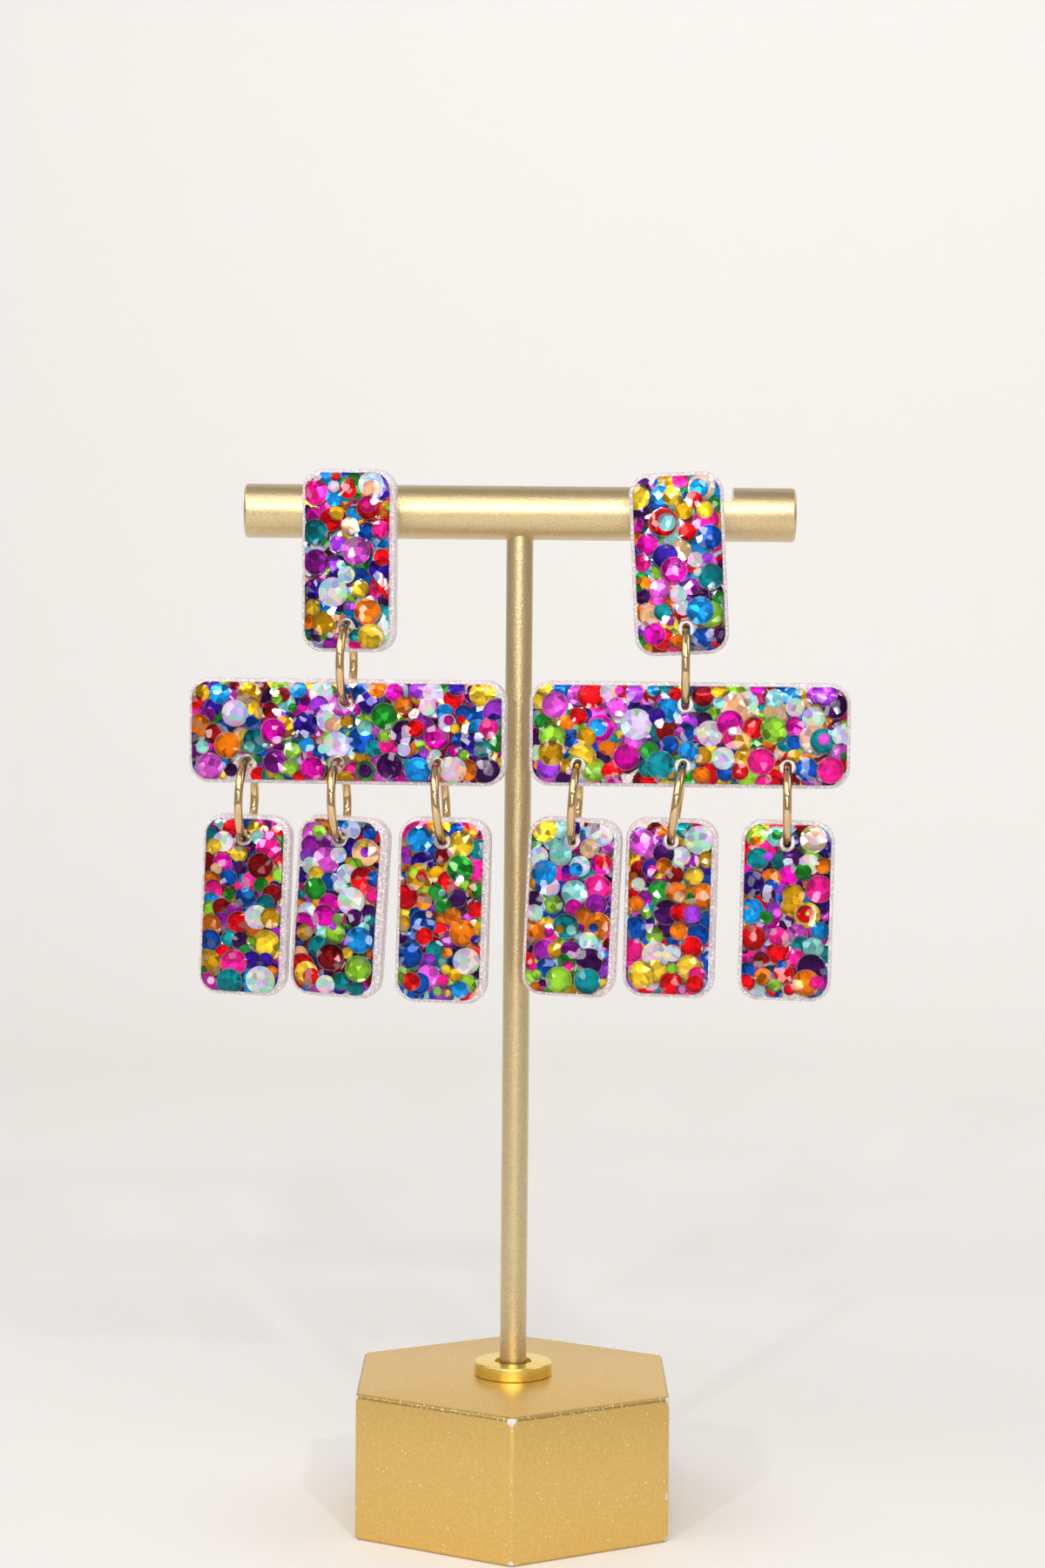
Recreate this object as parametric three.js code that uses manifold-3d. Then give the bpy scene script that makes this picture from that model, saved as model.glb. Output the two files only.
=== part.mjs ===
// A pair of chandelier earrings hanging on a T-bar stand with a hexagonal base.
// Millimetres, +Z up. The origin is the centre of the base's underside and the front faces -Y.

import * as THREE from 'three';
import { mergeVertices } from 'three/addons/utils/BufferGeometryUtils.js';
import Module from 'manifold-3d';

// Stand: base and disc
const base_across_flats = 34.4;
const base_height = 16.2;
const base_edge_break = 0.5;
const base_corner_extra = 0.2;
const disc_diameter = 8.7;
const disc_thickness = 1.5;
const disc_edge_break = 0.25;

// Stand: post and T-bar
const post_diameter = 3;
const post_in_base = 6;
const post_in_bar = 2;
const t_bar_diameter = 6;
const t_bar_axis_height = 112.8;
const t_bar_end_length = 6.9;
const t_bar_edge_break = 0.35;

// Notches across the top of the T-bar, where the ear posts lie
const notch_width = 6.8;
const notch_depth = 1.6;
const notch_outward = 1.4;

// Tiles: a pearl slab with a raised, dotted resin face on its front
const slab_thickness = 2.2;
const slab_edge_round = 0.55;
const face_thickness = 1;
const face_margin = 0.45;
const face_round_in = 1.3;
const face_round_out = 0.75;
const tile_corner_radius = 2.3;
const stud_width = 10.4;
const stud_height = 20;
const bar_height = 11.6;
const bar_end_length = 6.9;
const drop_width = 10;
const drop_height = 20.1;

// Spaces between neighbours on one earring and between the two earrings
const drop_gap = 0.7;
const bar_gap = 2.3;

// Holes, from the hole's centre to the tile's nearest edge
const stud_hole_to_edge = 2.9;
const bar_top_hole_to_edge = 2.5;
const bar_low_hole_to_edge = 2.35;
const drop_hole_to_edge = 2.5;

// Jump rings
const ring_outer_diameter = 9.6;
const ring_wire_diameter = 0.95;

// Ear posts
const pin_diameter = 0.8;
const pin_length = 11;
const pin_below_stud_top = 2.4;
const pin_groove_depth = 0.12;
const pin_groove_from_tip = 2.2;
const pin_groove_width = 0.9;
const pad_diameter = 4.2;
const pad_thickness = 0.4;

// Clearances
const bond_gap = 0.3;
const seat_gap = 0.3;
const ring_gap = 0.2;
const socket_gap = 0.15;
const disc_bore_gap = 0.3;
const rest_gap = 0.05;

// How finely round shapes are divided
const bar_sides = 24;
const post_sides = 20;
const disc_sides = 32;
const hole_sides = 12;
const ring_sides = 16;
const wire_sides = 6;
const pin_sides = 12;
const corner_steps = 3;
const round_steps = 2;
const face_steps = 2;

// Drops of each earring, from the viewer's left to right.
// along: the bar's hole, in drop pitches from the bar's centre.
// hole: the drop's hole, as a share of the drop's width from its centre line.
// ring_lean: degrees that the ring's foot stands to the right. turn: degrees about the vertical.
// wide and tall: shares of the drop's nominal size, as hand-poured tiles differ a little.
const left_drops = [
  { name: 'outer', along: -1.036, hole: -0.026, ring_lean: -1.2, turn: 0, wide: 0.99, tall: 0.995 },
  { name: 'middle', along: -0.093, hole: -0.042, ring_lean: 2.5, turn: -1.5, wide: 1.02, tall: 0.995 },
  { name: 'inner', along: 0.941, hole: -0.016, ring_lean: 4.8, turn: 1, wide: 1.02, tall: 1.015 },
];
const right_drops = [
  { name: 'inner', along: -1.14, hole: -0.029, ring_lean: -3.4, turn: -3, wide: 1.04, tall: 0.985 },
  { name: 'middle', along: -0.064, hole: -0.013, ring_lean: -8.2, turn: -2, wide: 1.02, tall: 0.985 },
  { name: 'outer', along: 1.006, hole: -0.011, ring_lean: 0.4, turn: -2, wide: 1.03, tall: 0.99 },
];

// The two earrings. side: -1 left of the post, 1 right of it. turn: degrees about the vertical.
// stud_pin and stud_hole: shares of the stud's width from its centre line, positive to the right.
// bar_hole: the bar's top hole, as a share of the bar's width from its centre.
const earrings = [
  { name: 'left', side: -1, turn: -7, stud_pin: -0.02, stud_hole: -0.02, bar_hole: -0.002, drops: left_drops },
  { name: 'right', side: 1, turn: -3, stud_pin: 0.12, stud_hole: 0.048, bar_hole: -0.014, drops: right_drops },
];

// Colours and finishes
const finishes = {
  base_paint: { color: 0xc9a352, roughness: 0.45, metalness: 0.8 },
  disc_gold: { color: 0xd9b03c, roughness: 0.25, metalness: 1 },
  bar_paint: { color: 0xcdb88a, roughness: 0.4, metalness: 0.9 },
  ring_gold: { color: 0xd8b98a, roughness: 0.12, metalness: 1 },
  pin_steel: { color: 0xd6c49c, roughness: 0.2, metalness: 1 },
  pearl: { color: 0xe4dad8, roughness: 0.35, metalness: 0.1 },
  stud_dots: { color: 0xc04a9c, roughness: 0.1, metalness: 0.3 },
  bar_dots: { color: 0x7c3f96, roughness: 0.1, metalness: 0.3 },
  outer_dots: { color: 0xb8324e, roughness: 0.1, metalness: 0.3 },
  middle_dots: { color: 0x3f8f4a, roughness: 0.1, metalness: 0.3 },
  inner_dots: { color: 0x2a86a8, roughness: 0.1, metalness: 0.3 },
};

// Sizes that follow from the ones above
const t_bar_radius = t_bar_diameter / 2;
const base_corner_radius = base_edge_break + base_corner_extra;
const tile_thickness = slab_thickness + bond_gap + face_thickness;
const ring_radius = (ring_outer_diameter - ring_wire_diameter) / 2;
const ring_sag = ring_radius - Math.sqrt(ring_radius ** 2 - (tile_thickness / 2) ** 2);
const hole_diameter = ring_wire_diameter + ring_sag + 2 * ring_gap;
const hole_from_ring_centre = ring_radius - ring_sag / 2;
const hole_step = 2 * hole_from_ring_centre;
const drop_pitch = drop_width + drop_gap;
const bar_width = 2 * (drop_pitch + bar_end_length);
const bar_centre = (bar_width + bar_gap) / 2;
const notch_centre = bar_centre + notch_outward;
const t_bar_length = 2 * (notch_centre + notch_width / 2 + t_bar_end_length);
const notch_floor = t_bar_axis_height + t_bar_radius - notch_depth;
const pin_height = notch_floor + seat_gap + pin_diameter / 2;
const radians = THREE.MathUtils.degToRad;

const wasm = await Module();
wasm.setup();

// Turns a closed geometry into a solid that can be cut and joined.
function toSolid(geometry) {
  const bare = geometry.clone();
  bare.deleteAttribute('normal');
  bare.deleteAttribute('uv');
  const merged = mergeVertices(bare);
  const corners = merged.index.array;
  const kept = [];
  for (let i = 0; i < corners.length; i += 3) {
    const [a, b, c] = corners.subarray(i, i + 3);
    if (a !== b && b !== c && c !== a) kept.push(a, b, c);
  }
  const vertProperties = new Float32Array(merged.attributes.position.array);
  return new wasm.Manifold(new wasm.Mesh({ numProp: 3, vertProperties, triVerts: new Uint32Array(kept) }));
}

// Turns a solid back into a geometry.
function toGeometry(solid) {
  const { vertProperties, triVerts } = solid.getMesh();
  const geometry = new THREE.BufferGeometry();
  geometry.setAttribute('position', new THREE.BufferAttribute(vertProperties, 3));
  geometry.setIndex(new THREE.BufferAttribute(triVerts, 1));
  geometry.computeVertexNormals();
  return geometry;
}

// Cuts each tool out of a body.
function cut(body, tools) {
  return toGeometry(tools.reduce((rest, tool) => rest.subtract(toSolid(tool)), toSolid(body)));
}

// A named mesh with its own material.
function piece(name, geometry, finish) {
  const mesh = new THREE.Mesh(geometry, new THREE.MeshStandardMaterial(finishes[finish]));
  mesh.name = name;
  return mesh;
}

// A rectangle with round corners, centred on the origin.
function roundedRectangle(width, height, radius) {
  const x = width / 2 - radius;
  const y = height / 2 - radius;
  const quarter = Math.PI / 2;
  const shape = new THREE.Shape();
  shape.absarc(x, y, radius, 0, quarter);
  shape.absarc(-x, y, radius, quarter, 2 * quarter);
  shape.absarc(-x, -y, radius, 2 * quarter, 3 * quarter);
  shape.absarc(x, -y, radius, 3 * quarter, 4 * quarter);
  return shape;
}

// A plate of the given outline standing upright, centred on y = 0, with rounded front and back edges.
function plate(outline, thickness, roundOut, roundIn, steps) {
  const geometry = new THREE.ExtrudeGeometry(outline, {
    depth: thickness - 2 * roundOut,
    bevelThickness: roundOut,
    bevelSize: roundIn,
    bevelOffset: -roundIn,
    bevelSegments: steps,
    curveSegments: corner_steps,
  });
  geometry.translate(0, 0, roundOut - thickness / 2);
  geometry.rotateX(Math.PI / 2);
  return geometry;
}

// Drills for the round holes through a tile, one for each centre.
function holeDrills(holes) {
  const radius = hole_diameter / 2 / Math.cos(Math.PI / hole_sides);
  return holes.map(({ x, z }) => {
    const drill = new THREE.CylinderGeometry(radius, radius, 2 * tile_thickness, hole_sides);
    drill.translate(x, 0, z);
    return drill;
  });
}

// A tile with its middle at the origin: the slab behind and the domed face in front.
function tile(name, dots, width, height, holes) {
  const drills = holeDrills(holes);
  const outline = roundedRectangle(width, height, tile_corner_radius);
  const slab = plate(outline, slab_thickness, slab_edge_round, slab_edge_round, round_steps);
  slab.translate(0, (tile_thickness - slab_thickness) / 2, 0);

  const inset = 2 * face_margin;
  const faceOutline = roundedRectangle(width - inset, height - inset, tile_corner_radius - face_margin);
  const dome = plate(faceOutline, 2 * face_thickness, face_round_out, face_round_in, face_steps);
  dome.translate(0, face_thickness - tile_thickness / 2, 0);
  const behind = new THREE.BoxGeometry(width, tile_thickness, height);
  behind.translate(0, face_thickness, 0);

  const group = new THREE.Group();
  group.add(piece(`${name}_slab`, cut(slab, drills), 'pearl'));
  group.add(piece(`${name}_face`, cut(dome, [behind, ...drills]), dots));
  return group;
}

// A jump ring standing across the tiles, centred on the origin.
function jumpRing(name) {
  const ring = new THREE.TorusGeometry(ring_radius, ring_wire_diameter / 2, wire_sides, ring_sides);
  ring.rotateY(Math.PI / 2);
  return piece(name, ring, 'ring_gold');
}

// An ear post: a flat pad and a pin with a groove near its tip, pointing back along +Y.
function earPost(name) {
  const pin = pin_diameter / 2;
  const groove = pin - pin_groove_depth;
  const grooveEnd = pin_length - pin_groove_from_tip;
  const grooveStart = grooveEnd - pin_groove_width;
  const profile = [
    [0, 0],
    [pad_diameter / 2, 0],
    [pad_diameter / 2, pad_thickness],
    [pin, pad_thickness],
    [pin, grooveStart],
    [groove, grooveStart + pin_groove_depth],
    [groove, grooveEnd - pin_groove_depth],
    [pin, grooveEnd],
    [pin, pin_length - pin],
    [pin * Math.SQRT1_2, pin_length - pin * (1 - Math.SQRT1_2)],
    [0, pin_length],
  ];
  const points = profile.map(([radius, along]) => new THREE.Vector2(radius, along));
  const geometry = toGeometry(toSolid(new THREE.LatheGeometry(points, pin_sides)));
  return piece(name, geometry, 'pin_steel');
}

// The stud hangs on its pin at the group's origin, with its ring hole straight below the pin.
function stud(row) {
  const pinX = row.stud_pin * stud_width;
  const pinZ = stud_height / 2 - pin_below_stud_top;
  const holeX = row.stud_hole * stud_width;
  const holeZ = stud_hole_to_edge - stud_height / 2;
  const body = tile(`${row.name}_stud`, 'stud_dots', stud_width, stud_height, [{ x: holeX, z: holeZ }]);
  body.position.set(-pinX, 0, -pinZ);
  const post = earPost(`${row.name}_ear_post`);
  post.position.y = tile_thickness / 2 + bond_gap;
  const group = new THREE.Group();
  group.add(body, post);
  group.rotation.y = -Math.atan2(pinX - holeX, pinZ - holeZ);
  return { group, drop: Math.hypot(pinX - holeX, pinZ - holeZ) };
}

// A ring with its drop, hung from a bar hole at the group's origin.
// The drop leans until its middle is straight below its hole.
function hangingDrop(earring, row) {
  const width = drop_width * row.wide;
  const height = drop_height * row.tall;
  const holeX = row.hole * drop_width;
  const holeZ = height / 2 - drop_hole_to_edge;
  const lean = radians(row.ring_lean);

  const ring = jumpRing(`${earring}_ring_${row.name}`);
  ring.position.z = -hole_from_ring_centre;
  const ringGroup = new THREE.Group();
  ringGroup.add(ring);
  ringGroup.rotation.y = -lean;

  const body = tile(`${earring}_drop_${row.name}`, `${row.name}_dots`, width, height, [{ x: holeX, z: holeZ }]);
  body.position.set(-holeX, 0, -holeZ);
  const bodyGroup = new THREE.Group();
  bodyGroup.add(body);
  bodyGroup.position.set(hole_step * Math.sin(lean), 0, -hole_step * Math.cos(lean));
  bodyGroup.rotation.y = -Math.atan2(holeX, holeZ);

  const group = new THREE.Group();
  group.add(ringGroup, bodyGroup);
  group.rotation.z = radians(row.turn);
  return group;
}

// One earring, hung on the T-bar by its ear post.
function earring(row) {
  const turn = radians(row.turn);
  const group = new THREE.Group();
  const { group: studGroup, drop: studDrop } = stud(row);
  group.add(studGroup);

  const topRing = jumpRing(`${row.name}_ring_top`);
  topRing.position.z = -studDrop - hole_from_ring_centre;
  group.add(topRing);

  const barHoleX = row.bar_hole * bar_width;
  const barHoleZ = bar_height / 2 - bar_top_hole_to_edge;
  const lowHoleZ = bar_low_hole_to_edge - bar_height / 2;
  const lowHoles = row.drops.map((drop) => ({ x: drop.along * drop_pitch, z: lowHoleZ }));
  const holes = [{ x: barHoleX, z: barHoleZ }, ...lowHoles];
  const bar = tile(`${row.name}_bar`, 'bar_dots', bar_width, bar_height, holes);
  const barZ = -studDrop - hole_step - barHoleZ;
  bar.position.set(-barHoleX, 0, barZ);
  group.add(bar);

  row.drops.forEach((drop, i) => {
    const hung = hangingDrop(row.name, drop);
    hung.position.set(lowHoles[i].x - barHoleX, 0, barZ + lowHoleZ);
    group.add(hung);
  });

  // The pad, or the stud's edge where that comes nearer, rests against the front of the T-bar.
  const padReach = (pad_thickness + bond_gap) * Math.cos(turn) + (pad_diameter / 2) * Math.abs(Math.sin(turn));
  const edgeReach = (stud_width / 2) * (1 + 2 * Math.abs(row.stud_pin)) * Math.abs(Math.sin(turn));
  const back = Math.max(padReach, edgeReach) + (tile_thickness / 2) * Math.cos(turn);
  group.position.set(row.side * bar_centre + barHoleX, -t_bar_radius - seat_gap - back, pin_height);
  group.rotation.z = turn;
  return group;
}

// The hexagonal base, with a corner to the front and a socket for the post.
function base() {
  const corner = base_across_flats / Math.sqrt(3);
  const inset = base_corner_radius / Math.cos(Math.PI / 6);
  const outline = new THREE.Shape();
  for (let i = 0; i < 6; i += 1) {
    const angle = -Math.PI / 2 + (i * Math.PI) / 3;
    const x = (corner - inset) * Math.cos(angle);
    const y = (corner - inset) * Math.sin(angle);
    outline.absarc(x, y, base_corner_radius, angle - Math.PI / 6, angle + Math.PI / 6);
  }
  const block = new THREE.ExtrudeGeometry(outline, {
    depth: base_height - 2 * base_edge_break,
    bevelThickness: base_edge_break,
    bevelSize: base_edge_break,
    bevelOffset: -base_edge_break,
    bevelSegments: round_steps,
    curveSegments: corner_steps,
  });
  block.translate(0, 0, base_edge_break);
  return piece('hex_base', cut(block, [socket(base_height, -post_in_base - rest_gap)]), 'base_paint');
}

// A round tool that opens a socket for the post from a level, up or down by a depth.
function socket(level, depth) {
  const radius = post_diameter / 2 + socket_gap;
  const past = Math.sign(depth) * post_diameter;
  const tool = new THREE.CylinderGeometry(radius, radius, Math.abs(depth + past), post_sides);
  tool.rotateX(Math.PI / 2);
  tool.translate(0, 0, level + (depth - past) / 2);
  return tool;
}

// The small round disc that the post passes through where it meets the base.
function disc() {
  const inner = post_diameter / 2 + disc_bore_gap;
  const outer = disc_diameter / 2;
  const profile = [
    [inner, 0],
    [outer, 0],
    [outer, disc_thickness - disc_edge_break],
    [outer - disc_edge_break, disc_thickness],
    [inner, disc_thickness],
    [inner, 0],
  ];
  const points = profile.map(([radius, along]) => new THREE.Vector2(radius, along));
  const geometry = new THREE.LatheGeometry(points, disc_sides);
  geometry.rotateX(Math.PI / 2);
  const mesh = piece('base_disc', geometry, 'disc_gold');
  mesh.position.z = base_height + rest_gap;
  return mesh;
}

// The post, from the bottom of its socket in the base to its socket in the T-bar.
function post() {
  const low = base_height - post_in_base;
  const high = t_bar_axis_height - t_bar_radius + post_in_bar;
  const geometry = new THREE.CylinderGeometry(post_diameter / 2, post_diameter / 2, high - low, post_sides);
  geometry.rotateX(Math.PI / 2);
  const mesh = piece('post', geometry, 'bar_paint');
  mesh.position.z = (low + high) / 2;
  return mesh;
}

// The T-bar: a round bar with softened ends, two notches across its top and a socket below.
function tBar() {
  const half = t_bar_length / 2;
  const step = t_bar_edge_break * (1 - Math.SQRT1_2);
  const profile = [
    [0, -half],
    [t_bar_radius - t_bar_edge_break, -half],
    [t_bar_radius - step, step - half],
    [t_bar_radius, t_bar_edge_break - half],
    [t_bar_radius, half - t_bar_edge_break],
    [t_bar_radius - step, half - step],
    [t_bar_radius - t_bar_edge_break, half],
    [0, half],
  ];
  const points = profile.map(([radius, along]) => new THREE.Vector2(radius, along));
  const rod = new THREE.LatheGeometry(points, bar_sides);
  rod.rotateZ(-Math.PI / 2);
  rod.translate(0, 0, t_bar_axis_height);
  const notches = [-1, 1].map((side) => {
    const tool = new THREE.BoxGeometry(notch_width, 2 * t_bar_diameter, t_bar_diameter);
    tool.translate(side * notch_centre, 0, notch_floor + t_bar_radius);
    return tool;
  });
  const under = socket(t_bar_axis_height - t_bar_radius, post_in_bar + rest_gap);
  return piece('t_bar', cut(rod, [...notches, under]), 'bar_paint');
}

const object = new THREE.Group();
object.add(base(), disc(), post(), tBar());
object.add(...earrings.map(earring));

export default object;
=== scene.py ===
"""A pair of tile chandelier earrings on a gold T-bar stand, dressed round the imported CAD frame."""

import math

import bpy
import numpy as np
from bpy.props import FloatProperty, FloatVectorProperty, IntProperty, PointerProperty
from mathutils import Matrix, Vector


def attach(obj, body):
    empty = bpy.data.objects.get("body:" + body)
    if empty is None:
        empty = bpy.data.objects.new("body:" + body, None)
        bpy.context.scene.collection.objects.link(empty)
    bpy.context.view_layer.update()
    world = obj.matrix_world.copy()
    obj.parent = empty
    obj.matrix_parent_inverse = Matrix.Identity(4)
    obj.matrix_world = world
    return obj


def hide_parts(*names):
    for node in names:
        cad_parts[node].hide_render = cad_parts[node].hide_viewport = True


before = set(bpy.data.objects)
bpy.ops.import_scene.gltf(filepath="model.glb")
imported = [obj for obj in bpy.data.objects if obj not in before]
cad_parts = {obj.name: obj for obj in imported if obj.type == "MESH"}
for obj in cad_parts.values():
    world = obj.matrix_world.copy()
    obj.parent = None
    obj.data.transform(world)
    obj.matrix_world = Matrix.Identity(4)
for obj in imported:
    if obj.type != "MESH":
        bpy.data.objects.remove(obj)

bl_info = {
    "name": "Chandelier earrings on a stand",
    "version": (1, 0, 0),
    "blender": (4, 5, 0),
    "location": "View3D > Sidebar > Earrings",
    "description": "Builds the looks of a pair of tile chandelier earrings and their T-bar stand",
    "category": "Object",
}

MM = 0.001
CHART_STEP = 0.0955
# In mm: grit of the metal paint, dip of a dome round a hole, film, swelling over a charted and a small
# dot, and the ring round a hole that dots keep clear of.
GRIT_HEIGHT = 0.045
HOLE_DIP = 0.2
HOLE_DIP_WIDTH = 0.45
FILM_THICKNESS = 0.012
SWELL = 0.13
SMALL_SWELL = 0.04
HOLE_CLEARANCE = 0.06
# Scattered layers of dots, from the lowest: radius, spacing and share of the dome's rise.
SCATTER_LAYERS = ((1.5, 2.05, 0.04), (1.0, 1.75, 0.14), (1.5, 3.1, 0.24), (1.0, 2.4, 0.33))


def linear(code):
    """Linear colour of an sRGB hex code: c/12.92 up to 0.04045, else ((c + 0.055)/1.055)^2.4."""
    parts = np.array([int(code[i : i + 2], 16) for i in (0, 2, 4)]) / 255.0
    bent = ((parts + 0.055) / 1.055) ** 2.4
    return tuple(float(c) for c in np.where(parts <= 0.04045, parts / 12.92, bent))


def length(name, default, description):
    """A length in metres, shown with its unit, from a size in mm."""
    about = {"description": description, "subtype": "DISTANCE", "unit": "LENGTH", "precision": 5}
    return FloatProperty(name=name, default=default * MM, **about)


def colour(name, code, description):
    """A colour property from a hex code."""
    return FloatVectorProperty(
        name=name, default=linear(code), description=description, subtype="COLOR", min=0.0, max=1.0
    )


class StandSizes(bpy.types.PropertyGroup):
    """Sizes of the stand, as in the CAD."""

    base_across_flats: length("Base across flats", 34.4, "Width of the hexagon between two flat sides")
    base_height: length("Base height", 16.2, "Height of the hexagonal block")
    base_edge_break: length("Base edge break", 0.5, "Bevel round the top and bottom of the block")
    base_corner_radius: length("Base corner radius", 0.7, "Radius of the block's upright edges")
    disc_diameter: length("Disc diameter", 8.7, "Diameter of the disc at the foot of the post")
    disc_height: length("Disc height", 1.5, "Height of the disc")
    disc_recess: length("Disc recess", 0.55, "Width of the dark recess round the post")
    rest_gap: length("Rest gap", 0.05, "Gap under the disc and at the ends of the post")
    post_diameter: length("Post diameter", 3.0, "Diameter of the upright rod")
    post_in_base: length("Post in base", 6.0, "Depth of the rod in the block")
    post_in_bar: length("Post in bar", 2.0, "Depth of the rod in the cross bar")
    bar_diameter: length("Bar diameter", 6.0, "Diameter of the cross bar")
    bar_length: length("Bar length", 60.9, "Length of the cross bar")
    bar_axis_height: length("Bar height", 112.8, "Height of the cross bar's axis")
    bar_edge_break: length("Bar edge break", 0.35, "Rounding of the bar's ends")
    notch_centre: length("Notch centre", 20.15, "Distance of each notch from the middle of the bar")
    notch_width: length("Notch width", 6.8, "Width of each notch along the bar")
    notch_depth: length("Notch depth", 1.6, "Depth of each notch below the top of the bar")


class TileSizes(bpy.types.PropertyGroup):
    """Sizes of the tiles, rings and dots, as in the CAD."""

    thickness: length("Thickness", 3.5, "Thickness of a tile with its domed face")
    slab_front: length("Slab front", 0.72, "How far the slab's front lies ahead of the tile's middle")
    slab_round: length("Slab rounding", 0.55, "Rounding of the slab's edges")
    slab_shrink: length("Slab shrink", 0.035, "How far each slab's outline stays inside the CAD's")
    margin: length("Margin", 0.4, "Width of the bare rim round the domed face")
    round_in: length("Dome width", 1.3, "How far in from its edge the dome still rises")
    round_out: length("Dome rise", 0.75, "How much the dome rises over that width")
    corner_radius: length("Corner radius", 2.3, "Radius of a tile's corners")
    stud_width: length("Stud width", 10.4, "Width of the top tile")
    stud_height: length("Stud height", 20.0, "Height of the top tile")
    bar_width: length("Cross tile width", 35.2, "Width of the cross tile")
    bar_height: length("Cross tile height", 11.6, "Height of the cross tile")
    drop_width: length("Drop width", 10.0, "Width of a drop")
    drop_height: length("Drop height", 20.1, "Height of a drop")
    drop_pitch: length("Drop pitch", 10.7, "Distance from one drop to the next")
    pin_below_top: length("Pin below top", 2.4, "Distance of the ear post below the stud's top")
    stud_hole: length("Stud hole", 2.9, "Distance of the stud's hole from its lower edge")
    bar_top_hole: length("Upper bar hole", 2.5, "Distance of the bar's upper hole from its edge")
    bar_low_hole: length("Lower bar holes", 2.35, "Distance of the bar's lower holes from its edge")
    drop_hole: length("Drop hole", 2.5, "Distance of a drop's hole from its upper edge")
    hole_diameter: length("Hole diameter", 1.72, "Diameter of the ring holes")
    ring_diameter: length("Ring diameter", 9.6, "Outer diameter of a jump ring")
    wire_diameter: length("Wire diameter", 0.95, "Diameter of the rings' wire")
    ring_cut: length("Ring cut", 0.09, "Width of the fine cut in a ring")
    hole_from_centre: length("Hole from ring centre", 4.14, "Distance of a hole from its ring's centre")
    bond_gap: length("Bond gap", 0.3, "Gap between a stud and its ear post")
    pad_diameter: length("Pad diameter", 4.2, "Diameter of the ear post's pad")
    pad_thickness: length("Pad thickness", 0.4, "Thickness of the ear post's pad")
    pin_diameter: length("Pin diameter", 0.8, "Diameter of the ear post's pin")
    pin_length: length("Pin length", 11.0, "Length of the ear post with its pad")
    slab_grid: length("Slab grid", 0.4, "Spacing of a slab's mesh")
    face_grid: length("Face grid", 0.26, "Spacing of a domed face's mesh")
    seed: IntProperty(name="Seed", default=11, description="Seed of the scattered dots")


class Finishes(bpy.types.PropertyGroup):
    """Colours of the finishes."""

    base_gold: colour("Base gold", "E4BF70", "Satin gold paint of the block")
    base_primer: colour("Primer", "D8D6D2", "Primer that shows where the paint is chipped")
    # Painted glints: the colour of the bright specks painted over the block.
    base_painted_glint: colour("Spark", "FFF0C8", "Bright specks in the gold paint")
    disc_gold: colour("Disc gold", "F8DA74", "Bright gold of the disc")
    bar_gold: colour("Bar gold", "D6BE8A", "Champagne gold of the post and bar")
    ring_gold: colour("Ring gold", "E0C08C", "Light gold of the rings")
    pin_gold: colour("Pin gold", "D9C79B", "Pale gold of the ear posts")
    pearl: colour("Pearl", "D4C7C9", "Pinkish white of the pearl resin")
    glitter: colour("Glitter", "FFF7FA", "Flakes in the pearl resin")
    floor: colour("Floor", "EFEDEB", "Pale floor and backdrop")


SETTINGS = {"earring_stand": StandSizes, "earring_tiles": TileSizes, "earring_finishes": Finishes}

# Film dots: name, colour and how often it is scattered.
FILMS = {
    "magenta": ("C8009A", 5),
    "pink": ("F2188C", 6),
    "red": ("D8000C", 8),
    "wine": ("7A0008", 5),
    "orange": ("E07004", 6),
    "peach": ("F0A052", 2),
    "gold": ("C89200", 6),
    "yellow": ("EBC32A", 4),
    "lime": ("86BE2E", 4),
    "green": ("1E8A28", 5),
    "teal": ("007C86", 5),
    "aqua": ("4CC8C4", 2),
    "ice": ("A6DCF0", 1),
    "sky": ("0C86D6", 5),
    "blue": ("0046A6", 7),
    "indigo": ("2A0A86", 5),
    "purple": ("3A0450", 6),
    "plum": ("8A1494", 4),
    "violet": ("9A34D0", 4),
    "orchid": ("DC50D2", 3),
    "lilac": ("B8A6E2", 1),
    "opal": ("F2EEF0", 3),
}
FILM_NAMES = list(FILMS)
# How pale and iridescent a film is, up to 1. A film that isn't named here isn't pale.
PALE_FILMS = {"opal": 1.0, "lilac": 0.7, "ice": 0.6, "peach": 0.3, "aqua": 0.3}


# Placing


def shift(x, y, z):
    """Matrix that moves by x, y, z."""
    matrix = np.eye(4)
    matrix[:3, 3] = (x, y, z)
    return matrix


def turned(axis, degrees):
    """Matrix that turns about Y or Z by the right-hand rule."""
    c = math.cos(math.radians(degrees))
    s = math.sin(math.radians(degrees))
    matrix = np.eye(4)
    if axis == "Z":
        matrix[:2, :2] = ((c, -s), (s, c))
    else:
        matrix[0, 0], matrix[0, 2], matrix[2, 0], matrix[2, 2] = c, s, -s, c
    return matrix


def placed(matrix, points):
    """Points moved by a matrix."""
    return points @ matrix[:3, :3].T + matrix[:3, 3]


# Meshes


def quads(rows, columns, wrap=False, start=0):
    """Quads of a grid of rows by columns, whose normal is column direction cross row direction."""
    index = start + np.arange(rows * columns).reshape(rows, columns)
    if wrap:
        index = np.hstack([index, index[:, :1]])
    low, high = index[:-1], index[1:]
    return np.stack([low[:, :-1], low[:, 1:], high[:, 1:], high[:, :-1]], axis=-1).reshape(-1, 4)


def join(parts):
    """One (points, faces) from several."""
    points, faces, count = [], [], 0
    for part_points, part_faces in parts:
        points.append(part_points)
        faces.extend((np.asarray(face) + count).tolist() for face in part_faces)
        count += len(part_points)
    return np.concatenate(points), faces


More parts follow.
